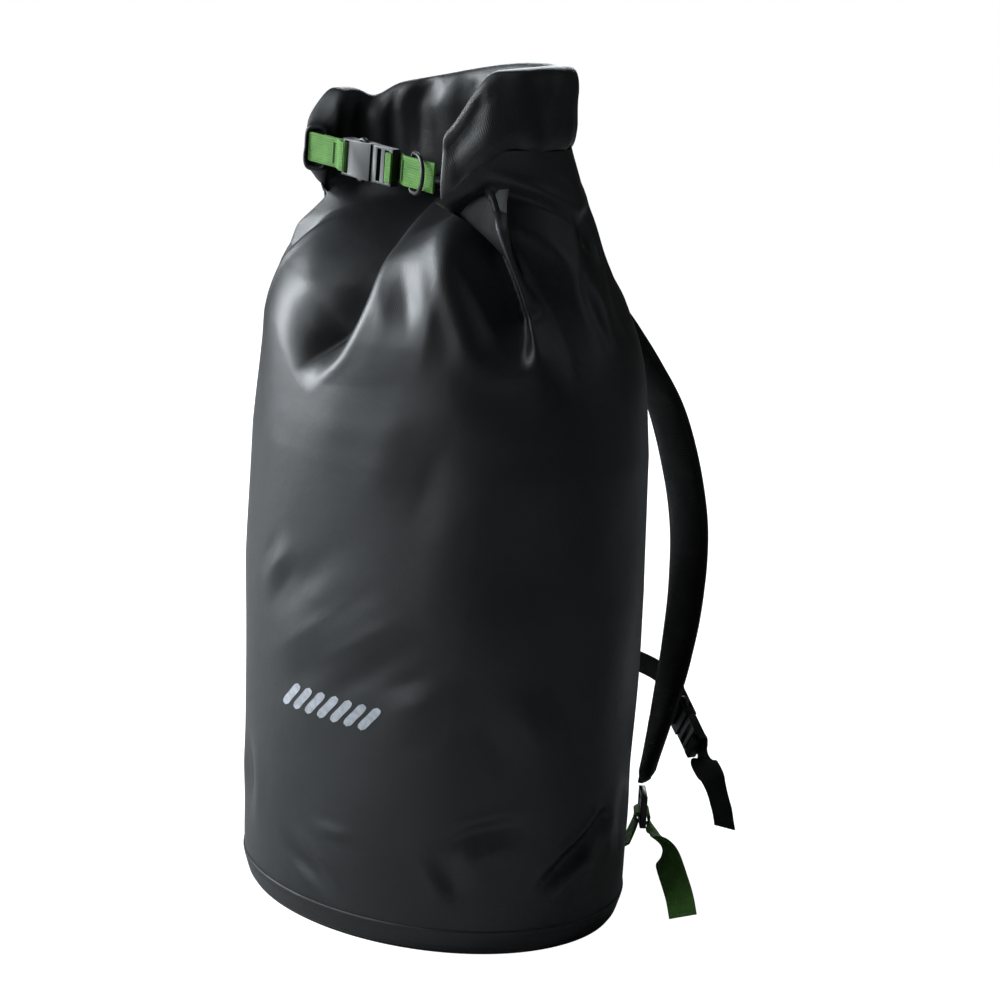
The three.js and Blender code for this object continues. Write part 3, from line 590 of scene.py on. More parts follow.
def fold_moves(vertices, normals, facing, line, left, right, depth, crest):
    """How each vertex moves for one fold: straight into the plane that the fold is drawn on."""
    turn = math.radians(facing)
    outward = np.array([math.sin(turn), -math.cos(turn), 0.0])
    sideways = np.array([math.cos(turn), math.sin(turn), 0.0])
    flat = np.stack([vertices @ sideways, vertices[:, 2]], 1)
    path, _ = resample(line, 40)
    seen = smooth((normals @ outward + 0.02) / 0.30)
    reach = 3.0 * max(left, right)
    inside = ((flat > path.min(0) - reach) & (flat < path.max(0) + reach)).all(1)
    near = np.nonzero(inside & (seen > 0) & (vertices @ outward > -0.03))[0]
    spans = np.diff(path, axis=0)
    gaps = flat[near, None] - path[None, :-1]
    along = np.clip((gaps * spans).sum(2) / (spans**2).sum(1), 0, 1)
    gaps -= along[:, :, None] * spans
    distance = np.linalg.norm(gaps, axis=2)
    closest = distance.argmin(1)
    pick = np.arange(len(near))
    side = (gaps[pick, closest] * np.stack([-spans[closest, 1], spans[closest, 0]], 1)).sum(1)
    u = distance[pick, closest] / (left + (right - left) * smooth(side / 0.00002 + 0.5))
    valley = np.exp(-(u**1.3))
    shoulders = crest * np.exp(-(((u - 1.75) / 0.62) ** 2))
    t = (closest + along[pick, closest]) / len(spans)
    start = 0.10 if abs(depth) > SHALLOW else 0.50
    taper = smooth(t / start) * smooth((1 - t) / max(start, 0.28))
    moves = np.zeros_like(vertices)
    moves[near] = -outward * (depth * (valley - shoulders) * taper * seen[near])[:, None]
    return moves


def unevenness(shares, heights, seed, size):
    """Broad random swelling of the filled cloth, the same on every run."""
    rng = np.random.default_rng(seed)
    total = np.zeros(len(shares))
    for _ in range(26):
        around, up = rng.integers(2, 13), rng.uniform(4, 42)
        phase, tilt = rng.uniform(0, 2 * math.pi), rng.choice([-1, 1])
        wave = np.sin(2 * math.pi * around * shares + tilt * up * heights + phase)
        total += wave / math.sqrt(around + up / 4)
    return size * total / 2.2


TUBE_AROUND, TUBE_GIRTH = 288, 1.062
TUBE_ROWS = np.concatenate([np.linspace(0.001, 0.44, 110, endpoint=False), np.linspace(0.44, NECK_TOP, 110)])


def make_tube():
    """The fabric tube with its folds. The folds fade out at its rim and foot and behind the back pad."""
    shares = np.arange(TUBE_AROUND) / TUBE_AROUND
    points = np.array([[tube_point(s, z) for s in shares] for z in TUBE_ROWS])
    around = np.arange(TUBE_AROUND + 1) * TUBE_GIRTH / TUBE_AROUND
    vertices, faces, uv = grid(points, True, False, around, TUBE_ROWS)
    smooth_tube = new_object("bag_fabric", vertices, faces, TARP, uv)
    normals = np.array([v.normal[:] for v in smooth_tube.data.vertices])
    share_of = np.tile(shares, len(TUBE_ROWS))
    height_of = np.repeat(TUBE_ROWS, TUBE_AROUND)
    moves = sum(fold_moves(vertices, normals, *fold) for fold in FOLDS)
    moves -= normals * unevenness(share_of, height_of, 5, 0.0011)[:, None]
    rim = smooth((NECK_TOP - height_of) / 0.012)
    foot = smooth((height_of - 0.024) / 0.03)
    sideways = np.minimum(share_of, 1 - share_of)
    padded_back = smooth((sideways - 0.105) / 0.03)
    padded_back = np.maximum(padded_back, smooth((height_of - 0.565) / 0.02))
    moved = vertices + moves * (rim * foot * padded_back)[:, None]
    smooth_tube.data.vertices.foreach_set("co", moved.astype(np.float32).ravel())
    smooth_tube.data.update()
    return smooth_tube


# ------------------------------------------------------------------ the roll
def roll_heights(angle, x):
    """The foot and top of the roll where its centre line is at x. Its top dips towards both ends."""
    degrees = math.degrees(angle)
    top = ROLL_TOP + ROLL_SLOPE * x
    top -= 0.048 * float(smooth((-36 - degrees) / 28)) ** 1.3
    top -= 0.030 * float(smooth((degrees - 172) / 28))
    top -= 0.009 * math.exp(-(((degrees - 146) / 9) ** 2))
    top += 0.008 * math.exp(-(((degrees - 80) / 42) ** 2))
    return ROLL_FOOT - STRAP_DROP * x + rim_lift(x) - 0.002, top


def roll_section(steps):
    """The roll's outline: (outwards, height) pairs, each from -1 to 1, round a puffy, flattened spiral."""
    turns = [2 * math.pi * k / steps for k in range(steps)]
    return [(squared(math.cos(turn), 0.62), squared(math.sin(turn), 0.42)) for turn in turns]


def make_roll():
    """The rolled mouth as one C, with the laps of cloth, swelling and creases on it."""
    count, steps = 200, 64
    angles = np.linspace(LEFT_END + 0.02, RIGHT_END + 0.09, count)
    rows = []
    rng = np.random.default_rng(11)
    ranges = [(2, 9), (-70, 70), (0, 6.28), (0.4, 1.0)]
    waves = [[rng.uniform(low, high) for low, high in ranges] for _ in range(9)]
    for k, angle in enumerate(angles):
        centre = roll_point(angle, 0)
        out = roll_point(angle, 1) - centre
        foot, top = roll_heights(angle, centre[0])
        middle, half = (foot + top) / 2, (top - foot) / 2
        end = min(k, count - 1 - k) / count
        shrink = 0.80 + 0.20 * float(smooth(end / 0.05))
        row = []
        for c, s in roll_section(steps):
            z = middle + s * half * (0.94 + 0.06 * shrink)
            swell = sum(size * math.sin(a * angle * 2 + b * z + phase) for a, b, phase, size in waves)
            swell *= 0.00055
            if c < 0:
                lap = 0.0022 * float(smooth((s - 0.28) / 0.05))
            else:
                lap = 0.0012 * float(smooth((0.1 - s) / 0.5))
            reach = (ROLL_THICK / 2 + 0.0012 + swell + lap) * c * shrink
            plan = centre + out * reach
            row.append((plan[0], plan[1], z - STRAP_DROP * out[0] * reach))
        rows.append(row)
    points = np.array(rows)
    points = crease_roll(points, angles)
    lengths = np.cumsum(np.r_[0, np.linalg.norm(np.diff(points[:, 0, :2], axis=0), axis=1), 0])
    around = np.linspace(0, 0.24, steps + 1)
    vertices, faces, uv = grid(points, True, False, around, lengths)
    roll = new_object("roll_fabric", vertices, faces, TARP, uv)
    add_spiral_ends(roll, points)
    return roll


# Creases in the roll: (degrees round the ellipse, height), reach and depth, on its outer or its inner face.
ROLL_CREASES = [
    (1, [(-60, 0.672), (-50, 0.700), (-42, 0.733)], 0.007, 0.0045),
    (1, [(-58, 0.660), (-40, 0.668), (-20, 0.690)], 0.010, 0.0030),
    (1, [(12, 0.660), (20, 0.690), (16, 0.725)], 0.009, 0.0030),
    (1, [(150, 0.660), (158, 0.690), (150, 0.715)], 0.008, 0.0035),
    (1, [(60, 0.655), (66, 0.690), (60, 0.730)], 0.010, 0.0028),
    (-1, [(75, 0.660), (62, 0.700), (40, 0.735)], 0.010, 0.0055),
    (-1, [(118, 0.655), (122, 0.700), (112, 0.730)], 0.009, 0.0045),
    (-1, [(92, 0.650), (96, 0.690), (90, 0.735)], 0.012, 0.0040),
    (-1, [(150, 0.655), (152, 0.690), (146, 0.720)], 0.008, 0.0040),
]


def crease_roll(points, angles):
    """Presses the creases into the roll's points."""
    for face, line, reach, depth in ROLL_CREASES:
        path = []
        for degrees, z in between(np.linspace(0, len(line) - 1, 24), range(len(line)), line):
            x, y = roll_point(math.radians(degrees), face * ROLL_THICK / 2)
            path.append((x, y, z))
        path = np.array(path)
        gap = np.linalg.norm(points[:, :, None, :] - path[None, None], axis=3)
        nearest, closest = gap.min(2), gap.argmin(2)
        taper = smooth(closest / 5) * smooth((len(path) - 1 - closest) / 5)
        u = nearest / reach
        pull = depth * taper * (np.exp(-(u**1.4)) - 0.3 * np.exp(-((u - 1.8) ** 2) / 0.3))
        for k, angle in enumerate(angles):
            out = roll_point(angle, 1) - roll_point(angle, 0)
            points[k, :, 0] -= out[0] * face * pull[k]
            points[k, :, 1] -= out[1] * face * pull[k]
    return points


# The rings that close the roll's ends: each one's size as a share of the section, and how far it stands out.
SPIRAL_RINGS = [
    (0.93, 0.0022),
    (0.82, 0.0026),
    (0.78, -0.0035),
    (0.62, -0.0030),
    (0.56, 0.0),
    (0.38, 0.0004),
    (0.32, -0.0042),
    (0.12, -0.0046),
]


def add_spiral_ends(roll, points):
    """Closes both ends of the roll with the layers of cloth that show there."""
    steps = points.shape[1]
    with editing(roll) as work:
        rolled = work.verts[:]
        uv = work.loops.layers.uv.active
        for row, direction in ((0, 1), (len(points) - 1, -1)):
            centre = points[row].mean(0)
            ahead = unit(centre - points[row + direction * 3].mean(0))
            previous = rolled[row * steps : (row + 1) * steps]
            for scale, depth in SPIRAL_RINGS:
                places = centre + (points[row] - centre) * scale + ahead * depth
                ring = [work.verts.new(place) for place in places]
                for k in range(steps):
                    corners = [previous[k], previous[(k + 1) % steps], ring[(k + 1) % steps], ring[k]]
                    face = work.faces.new(corners[::-direction])
                    face.smooth = True
                    for corner in face.loops:
                        corner[uv].uv = (corner.vert.co.x + corner.vert.co.y, corner.vert.co.z)
                previous = ring
            work.faces.new(previous[::-direction])
        bmesh.ops.recalc_face_normals(work, faces=work.faces)


# ------------------------------------------------------------------ parts split between the wings
def bend_with_wings(whole, names, nodes):
    """Splits a piece at the plane between the wings into two halves, each with the whole piece's normals."""
    for side, name, node in zip((-1, 1), names, nodes):
        half = whole.copy()
        half.data = whole.data.copy()
        half.name = name
        bpy.context.scene.collection.objects.link(half)
        plane = {"plane_co": (SPLIT_X, 0, 0), "plane_no": (side, 0, 0)}
        with editing(half) as work:
            everything = work.verts[:] + work.edges[:] + work.faces[:]
            bmesh.ops.bisect_plane(work, geom=everything, clear_inner=True, dist=1e-6, **plane)
        keep_normals(half, whole.data)
        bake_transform(half)
        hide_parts(node)
    bpy.data.objects.remove(whole)


def keep_normals(half, source):
    """Gives a cut mesh the normals of the mesh it came from, so that the cut doesn't show."""
    tree = BVHTree.FromPolygons([v.co for v in source.vertices], [p.vertices for p in source.polygons])
    normals = []
    vertex_normals = [v.normal for v in source.vertices]
    for vertex in half.data.vertices:
        spot, _, index, _ = tree.find_nearest(vertex.co)
        corners = source.polygons[index].vertices
        weights = [1 / ((source.vertices[c].co - spot).length + 1e-7) for c in corners]
        total = sum((vertex_normals[c] * w for c, w in zip(corners, weights)), Vector())
        normals.append(total.normalized())
    half.data.normals_split_custom_set_from_vertices(normals)


# ------------------------------------------------------------------ swept straps and tapes
def swept(name, centres, across, sections, material, lengths, texture):
    """A closed strap. Each section is a loop of (across, outwards) pairs, and texture is the u round it."""
    _, across, outwards = strap_frame(centres, across)
    sections = np.asarray(sections)
    points = centres[:, None] + across[:, None] * sections[:, :, :1] + outwards[:, None] * sections[:, :, 1:2]
    vertices, faces, uv = grid(points, True, False, texture, np.r_[lengths, lengths[-1]])
    obj = new_object(name, vertices, faces, material, uv)
    close_ends(obj, points.shape[1])
    return obj


def close_ends(obj, steps):
    """Puts a flat face over both ends of a tube whose rings have this many vertices."""
    with editing(obj) as work:
        work.verts.ensure_lookup_table()
        count = len(work.verts)
        for ring in (range(steps), range(count - 1, count - 1 - steps, -1)):
            face = work.faces.new([work.verts[k] for k in ring])
            face.smooth = False
        bmesh.ops.recalc_face_normals(work, faces=work.faces)


def flat_section(width, thick):
    """A tape's section: flat faces and rounded selvedges a little thicker than the middle."""
    half, edge = width / 2, thick / 2
    u = np.linspace(-half + edge, half - edge, 6)
    lift = edge * (1 + 0.10 * (np.abs(u) > half - 3 * edge))
    right = [(half - edge + edge * math.cos(a), edge * math.sin(a)) for a in np.linspace(-1.2, 1.2, 5)]
    left = [(-x, -y) for x, y in right]
    bottom = list(zip(u, -lift))
    top = list(zip(u[::-1], lift[::-1]))
    return bottom + right + top + left


def webbing(name, points, across, material, body, node, count, hem=0.0):
    """Webbing through the points. across is one direction, or a function of the share along."""
    curve, lengths = resample(points, count)
    shares = lengths / lengths[-1]
    directions = np.array([across(t) for t in shares]) if callable(across) else np.tile(across, (count, 1))
    section = np.array(flat_section(WEBBING, WEB_T))
    sections = np.repeat(section[None], count, 0)
    sections[lengths[-1] - lengths < hem, :, 1] *= 1.9
    obj = swept(name, curve, directions, sections, material, lengths, np.r_[section[:, 0], section[0, 0]])
    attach(obj, body)
    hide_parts(node)
    return curve, lengths, directions


def stitch_line(points, normals, length=0.0030, gap=0.0014, radius=0.00042):
    """The middles, directions and normals of a row of stitches along a line."""
    points, normals = np.asarray(points), np.asarray(normals)
    run = distances(points)
    at = np.arange(length, run[-1] - length / 2, length + gap)
    ahead = unit(between(at + length / 2, run, points) - between(at - length / 2, run, points))
    middles, upright = between(at, run, points), between(at, run, normals)
    return [(p, a, unit(n), length, radius) for p, a, n in zip(middles, ahead, upright)]


def sew(name, stitches, body, material):
    """One piece of thread: each stitch is a small six-sided bead that sinks in at both ends."""
    half_bead = [(-0.5, 0.35, -0.6), (-0.30, 0.95, 0.15), (0.0, 1.0, 0.35)]
    profile = half_bead + [(-share, size, lift) for share, size, lift in half_bead[1::-1]]
    ring = np.array([(math.cos(k * math.pi / 3), math.sin(k * math.pi / 3)) for k in range(6)])
    vertices, faces = [], []
    for centre, ahead, normal, length, radius in stitches:
        side = unit(np.cross(ahead, normal))
        base = len(vertices)
        for share, size, lift in profile:
            middle = centre + ahead * share * length + normal * lift * radius
            vertices += [middle + (side * c + normal * s) * radius * size for c, s in ring]
        for j in range(len(profile) - 1):
            for k in range(6):
                low, nxt = base + j * 6 + k, base + j * 6 + (k + 1) % 6
                faces.append((low, nxt, nxt + 6, low + 6))
    obj = new_object(name, vertices, faces, material, [(0.0, 0.0)] * (4 * len(faces)))
    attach(obj, body)


def box_stitches(curve, lengths, directions, start, end, half, lift):
    """A sewn box with a cross in it, on a webbing between two distances along it."""
    _, across, outwards = strap_frame(curve, directions)

    def spot(s, u):
        up = unit(between(s, lengths, outwards))
        return between(s, lengths, curve) + between(s, lengths, across) * u + up * lift, up * np.sign(lift)

    corners = [(start, -half), (start, half), (end, half), (end, -half), (start, -half), (end, half)]
    made = []
    for (s0, u0), (s1, u1) in zip(corners, corners[1:]):
        steps = [spot(s0 + (s1 - s0) * t, u0 + (u1 - u0) * t) for t in np.linspace(0, 1, 8)]
        made += stitch_line([p for p, _ in steps], [n for _, n in steps], 0.0022, 0.0009, 0.00034)
    return made


# ------------------------------------------------------------------ moulded hardware
def moulded(node, body, name, radius=0.0009):
    """The CAD piece with its flat faces joined up and every edge rounded, as it comes out of a mould."""
    source = bpy.data.objects[node]
    work = bmesh.new()
    work.from_mesh(source.data)
    work.transform(source.matrix_world)
    bmesh.ops.remove_doubles(work, verts=work.verts, dist=1e-6)
    bmesh.ops.dissolve_limit(work, angle_limit=math.radians(1.5), verts=work.verts, edges=work.edges)
    mesh = bpy.data.meshes.new(name)
    work.to_mesh(mesh)
    work.free()
    mesh.materials.append(PLASTIC)
    obj = bpy.data.objects.new(name, mesh)
    bpy.context.scene.collection.objects.link(obj)
    bevel = obj.modifiers.new("round", "BEVEL")
    bevel.width = radius
    bevel.segments = 3
    bevel.angle_limit = math.radians(25)
    bevel.harden_normals = False
    bake_modifiers(obj)
    obj.data.shade_smooth()
    obj.data.set_sharp_from_angle(angle=math.radians(35))
    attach(obj, body)
    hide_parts(node)


class Axes:
    """A buckle's frame: x along the webbing, y through its thickness and z along its width."""

    def __init__(self, along, through, at):
        self.x = unit(along)
        self.z = unit(np.cross(self.x, through))
        self.y = np.cross(self.z, self.x)
        self.at = np.asarray(at, float)

    def place(self, points):
        """Points given in this frame, in the bag's."""
        return [self.at + self.x * p[0] + self.y * p[1] + self.z * p[2] for p in points]


def closure_axes():
    along = [math.cos(STRAP_TURN), math.sin(STRAP_TURN), -STRAP_DROP]
    inward = np.array([-math.sin(STRAP_TURN), math.cos(STRAP_TURN), 0])
    foot = PIVOT - inward * STRAP_REACH
    foot[2] = STRAP_Z
    return Axes(along, inward, foot)


def chest_axes():
    turn, drop = math.radians(CHEST_TURN), math.radians(CHEST_DROP)
    along = [math.cos(turn) * math.cos(drop), math.sin(turn) * math.cos(drop), math.sin(drop)]
    return Axes(along, [-math.sin(turn), math.cos(turn), 0], CHEST_AT)


def socket_loop(fold):
    """The webbing's run round the socket's bar, from the far side of the strap and back."""
    left = BUCKLE_LEFT
    face = BUCKLE_THICK / 2 + LOOP_GAP + WEB_T / 2
    end = left + BUCKLE_BAR + LOOP_GAP + WEB_T / 2
    half = [
        (left - 0.024, 0.0013),
        (left - 0.012, 0.0014),
        (left - 0.006, face - 0.003),
        (left - 0.0005, face),
        (end - 0.0004, face - 0.0004),
    ]
    back = [(x, -y) for x, y in reversed(half)]
    return [(x, -y, 0) for x, y in [*half, (end, 0), *back, (left - fold, -0.0013)]]


def plug_loop():
    """The webbing's run from the strap round the plug's end bar."""
    right = BUCKLE_LEFT + BUCKLE_LENGTH + GAP + PLUG_LENGTH
    through = right - PLUG_LENGTH + 0.022 - LOOP_GAP - WEB_T / 2
    face = PLUG_THICK / 2 + LOOP_GAP + WEB_T / 2
    run = [
        (right + 0.022, 0),
        (right + 0.012, 0),
        (right + 0.005, 0.0024 - face),
        (right - 0.0005, -face),
        (through + 0.0008, 0.0004 - face),
        (through, 0),
        (through + 0.0008, face - 0.0004),
        (right - 0.0005, face),
        (right + 0.0015, face),
    ]
    return [(x, -y, 0) for x, y in run]


def release_arms(axes, body, name):
    """The plug's two sprung arms, where they bulge out through the socket's sides to be pinched."""
    start = BUCKLE_LEFT + 0.015
    for side, suffix in ((-1, "low"), (1, "high")):
        rows = []
        for k in range(13):
            t = k / 12
            x = start + 0.0135 * t
            bulge = 0.0136 + 0.0032 * math.sin(math.pi * min(1, t * 1.15)) ** 0.8
            ridge = 0.0003 * math.cos(t * 8 * math.pi)
            row = []
            for a in np.linspace(0, 2 * math.pi, 12, endpoint=False):
                y = 0.0024 * squared(math.sin(a), 0.6)
                z = bulge + (0.0016 + ridge) * squared(math.cos(a), 0.6)
                row.append((x, y, side * z))
            rows.append(axes.place(row))
        vertices, faces, uv = grid(rows, True, False)
        arm = new_object(f"{name}_{suffix}", vertices, faces, PLASTIC, uv)
        close_ends(arm, 12)
        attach(arm, body)


def make_dee_ring(axes):
    """The D-ring: a straight leg with two rounded corners, and a half circle."""
    straight = DEE_HALF - DEE_CORNER
    turns = np.linspace(0.2, math.pi / 2, 6)
    corner = [(DEE_CORNER - DEE_CORNER * math.cos(a), straight + DEE_CORNER * math.sin(a)) for a in turns]
    bends = np.linspace(math.pi / 2, -math.pi / 2, 36)
    outline = [(0.0, z) for z in np.linspace(-straight, straight, 12)]
    outline += corner
    outline += [(DEE_LEG + DEE_HALF * math.cos(a), DEE_HALF * math.sin(a)) for a in bends]
    outline += [(x, -z) for x, z in reversed(corner)]
    path = np.array([(x, 0.0, z) for x, z in outline])
    tangents = unit(np.roll(path, -1, 0) - np.roll(path, 1, 0))
    side = np.cross(tangents, [0, 1, 0])
    turn = -math.radians(DEE_REST)
    rows = []
    for point, out in zip(path, side):
        row = []
        for a in np.linspace(0, 2 * math.pi, 16, endpoint=False):
            p = point + DEE_WIRE * (out * math.cos(a) + np.array([0, 1, 0]) * math.sin(a))
            x = p[0] * math.cos(turn) - p[1] * math.sin(turn) + DEE_S
            y = p[0] * math.sin(turn) + p[1] * math.cos(turn) - DEE_OFFSET
            row.append((x, y, p[2]))
        rows.append(axes.place(row))
    vertices, faces, uv = grid(rows, True, True)
    ring = new_object("dee_ring_smooth", vertices, faces, PLASTIC, uv)
    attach(ring, "ring")
    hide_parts("dee_ring")


def make_closure():
    """The buckle, its webbing on both sides and the D-ring."""
    axes = closure_axes()
    moulded("closure_socket", "left_wing", "closure_socket_moulded")
    moulded("closure_plug", "right_wing", "closure_plug_moulded", 0.0007)
    release_arms(axes, "right_wing", "closure_arm")
    left = axes.place([(STRAP_LEFT, -0.0013, 0), *socket_loop(0.034)])
    webbing("closure_tape_left", left, axes.z, GREEN, "left_wing", "closure_socket_webbing", 150)
    right = axes.place([(STRAP_RIGHT, 0, 0), *plug_loop()])
    webbing("closure_tape_right", right, axes.z, GREEN, "right_wing", "closure_plug_webbing", 120)
    bar_tack("closure_tack_left", axes, BUCKLE_LEFT - 0.0165, -0.0026, "left_wing")
    plug_end = BUCKLE_LEFT + BUCKLE_LENGTH + PLUG_LENGTH
    bar_tack("closure_tack_right", axes, plug_end + 0.010, -0.0013, "right_wing")
    make_dee_ring(axes)


def bar_tack(name, axes, x, y, body):
    """A dense dark zigzag across the webbing that closes its loop."""
    stitches = []
    for k in range(22):
        z = -0.0085 + 0.017 * k / 21
        middle = axes.place([(x, y, z)])[0]
        stitches.append((middle, axes.x, -axes.y, 0.0022, 0.0004))
    sew(name, stitches, body, GREEN_THREAD)


# ------------------------------------------------------------------ the back
def back_point(x, z):
    """Where the tube's back is at (x, z), and its outward normal."""
    share = math.asin(max(-1, min(1, -x / ring_at(z)[0]))) / (2 * math.pi)
    step = 0.004
    around = tube_point(share + step, z) - tube_point(share - step, z)
    up = tube_point(share, min(z + 0.002, NECK_TOP)) - tube_point(share, z - 0.002)
    return tube_point(share, z), unit(np.cross(around, up))


def on_back(x, z, lift):
    """A point that stands off the tube's back."""
    at, normal = back_point(x, z)
    return at + normal * lift


def half_width(height, width, tall, corner):
    """Half the width of a rounded rectangle at a height from its middle."""
    into = max(0.0, abs(height) - (tall / 2 - corner))
    return width / 2 - corner + math.sqrt(max(0.0, corner**2 - into**2))


def outline_points(width, tall, corner, inset, count):
    """Evenly spaced points round a rounded rectangle, inset from its edge."""
    half_x, half_y, r = width / 2 - inset, tall / 2 - inset, max(corner - inset, 0.001)
    points = []
    for cx, cy, turn in ((1, 1, 0), (-1, 1, 1), (-1, -1, 2), (1, -1, 3)):
        for a in np.linspace(0, math.pi / 2, 9):
            angle = turn * math.pi / 2 + a
            x, y = r * math.cos(angle), r * math.sin(angle)
            points.append((cx * (half_x - r) + x, cy * (half_y - r) + y))
    run = distances(points + points[:1])
    at = np.linspace(0, run[-1], count, endpoint=False)
    return between(at, run, points + points[:1])


def crowded(share):
    """Moves evenly spaced shares from -1 to 1 a little towards both ends."""
    return math.copysign(1 - (1 - abs(share)) ** 1.25, share)


def patch(name, width, tall, corner, centre_z, height_at, material, columns, rows):
    """A piece on the tube's back. height_at(x, height, edge) is how far it stands off the fabric."""
    points = []
    for v in np.linspace(-1, 1, rows):
        height = crowded(v) * tall / 2 * 0.9999
        reach = half_width(height, width, tall, corner)
        row = []
        for u in np.linspace(-1, 1, columns):
            x = crowded(u) * reach
            edge = min(reach - abs(x), tall / 2 - abs(height))
            row.append(on_back(x, centre_z + height, height_at(x, height, edge)))
        points.append(row)
    across = np.linspace(-width / 2, width / 2, columns)
    up = np.linspace(-tall / 2, tall / 2, rows)
    vertices, faces, uv = grid(np.array(points)[:, ::-1], False, False, across, up)
    return new_object(name, vertices, faces, material, uv)


def edge_tape(name, width, tall, corner, centre_z, inset, lift, size, body):
    """A binding sewn round a patch's edge."""
    count = 260
    line = outline_points(width, tall, corner, inset, count)
    centres = np.array([on_back(x, centre_z + z, lift) for x, z in line])
    normals = np.array([back_point(x, centre_z + z)[1] for x, z in line])
    along = unit(np.roll(centres, -1, 0) - np.roll(centres, 1, 0))
    side = unit(np.cross(along, normals))
    wide, thick = size
    turns = np.linspace(0, 2 * math.pi, 12, endpoint=False)
    rows = [
        [c + s * wide * math.cos(a) + n * thick * squared(math.sin(a), 0.7) for a in turns]
        for c, s, n in zip(centres, side, normals)
    ]
    run = distances(np.vstack([centres, centres[:1]]))
    vertices, faces, uv = grid(rows, True, True, np.linspace(0, 0.012, 13), run)
    obj = new_object(name, vertices, faces, BINDING, uv)
    with editing(obj) as work:
        bmesh.ops.recalc_face_normals(work, faces=work.faces)
    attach(obj, body)
    return centres, normals


def make_back_pad():
    """The foam pad, quilted by two long channels and four bars on each side of them."""

    def crown(x, height, edge):
        rise = PAD_THICK * (1 - math.exp(-edge / 0.007))
        channels = sum(math.exp(-(((x - c) / 0.0055) ** 2)) for c in (-0.036, 0.036))
        bars = sum(math.exp(-(((height - c) / 0.0045) ** 2)) for c in (-0.115, -0.04, 0.04, 0.115))
        quilting = 0.0045 * min(1.0, channels) + 0.0030 * min(1.0, bars) * float(abs(x) > 0.042)
        return LIE + 0.0012 + rise - quilting * min(1.0, edge / 0.02)

    pad = patch("back_pad_mesh", PAD_WIDTH, PAD_HEIGHT, PAD_CORNER, PAD_Z, crown, MESH_FOAM, 90, 150)
    puff(pad, 0.0022, 10, 2.0)
    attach(pad, "bag")
    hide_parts("back_pad")
    centres, normals = edge_tape(
        "back_pad_binding", PAD_WIDTH, PAD_HEIGHT, PAD_CORNER, PAD_Z, 0.0035, 0.0035, (0.0042, 0.0026), "bag"
    )
    lift = normals * 0.0027
    sew("back_pad_stitching", stitch_line(centres + lift, normals), "bag", THREAD)


def make_yoke():
    """The patch that the strap tops and the loop are sewn to, with two rows of stitching round it."""

    def flat(x, height, edge):
        return LIE + YOKE_THICK * (1 - math.exp(-(edge + 0.0004) / 0.0008)) - 0.0003

    yoke = patch("strap_yoke_patch", YOKE_WIDTH, YOKE_HEIGHT, YOKE_CORNER, YOKE_Z, flat, TARP_EDGE, 80, 44)
    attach(yoke, "bag")
    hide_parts("strap_yoke")
    stitches = []
    for inset in (0.0035, 0.0075):
        line = outline_points(YOKE_WIDTH, YOKE_HEIGHT, YOKE_CORNER, inset, 200)
        lift = LIE + YOKE_THICK
        points = [on_back(x, YOKE_Z + z, lift) for x, z in line]
        stitches += stitch_line(points, [back_point(x, YOKE_Z + z)[1] for x, z in line])
    sew("strap_yoke_stitching", stitches, "bag", THREAD)


def make_haul_loop():
    """The carrying loop, sewn down at both ends."""
    side = back_point(HAUL_HALF, HAUL_Z)[0][1] + YOKE_THICK + HAUL_STAND
    half, z = HAUL_HALF, HAUL_Z
    path = [
        (-half, side, z),
        (-half * 0.9, side + HAUL_REACH * 0.45, z + 0.001),
        (-half * 0.5, side + HAUL_REACH * 0.9, z + 0.003),
        (half * 0.5, side + HAUL_REACH * 0.9, z + 0.003),
        (half * 0.9, side + HAUL_REACH * 0.45, z + 0.001),
        (half, side, z),
    ]
    run = webbing("haul_loop_tape", path, np.array([0.0, 0, 1]), BLACK_WEB, "handle", "haul_loop", 90)
    total = run[1][-1]
    stitches = []
    for start, end in ((0.002, 0.012), (total - 0.012, total - 0.002)):
        stitches += box_stitches(*run, start, end, 0.0085, -WEB_T / 2)
    sew("haul_loop_stitching", stitches, "handle", THREAD)


# ------------------------------------------------------------------ shoulder straps
SIDE_NAMES = {1: "right", -1: "left"}


def across_angle(degrees, side):
    """The level direction across a strap that is turned this far from square to the back."""
    turn = math.radians(degrees)
    return np.array([math.cos(turn) * side, -math.sin(turn), 0])


def shoulder_run(side, count):
    """The shoulder strap's curve and the way its width runs."""
    curve, lengths = resample([(x * side, y, z) for x, y, z, _ in SHOULDER_PATH], count)
    stops = len(SHOULDER_PATH)
    turns = np.interp(lengths / lengths[-1] * (stops - 1), range(stops), [p[3] for p in SHOULDER_PATH])
    return curve, lengths, np.array([across_angle(t, side) for t in turns])


def pad_section(width, thick):
    """A foam strap's section: full in the middle, thin at its bound edges."""
    steps = 56
    loop = []
    for k in range(steps):
        a = 2 * math.pi * k / steps
        u = squared(math.cos(a), 0.8)
        body = (1 - abs(u) ** 3.2) ** 0.55
        loop.append((u * width / 2, math.copysign(thick / 2 * body, math.sin(a))))
    return loop


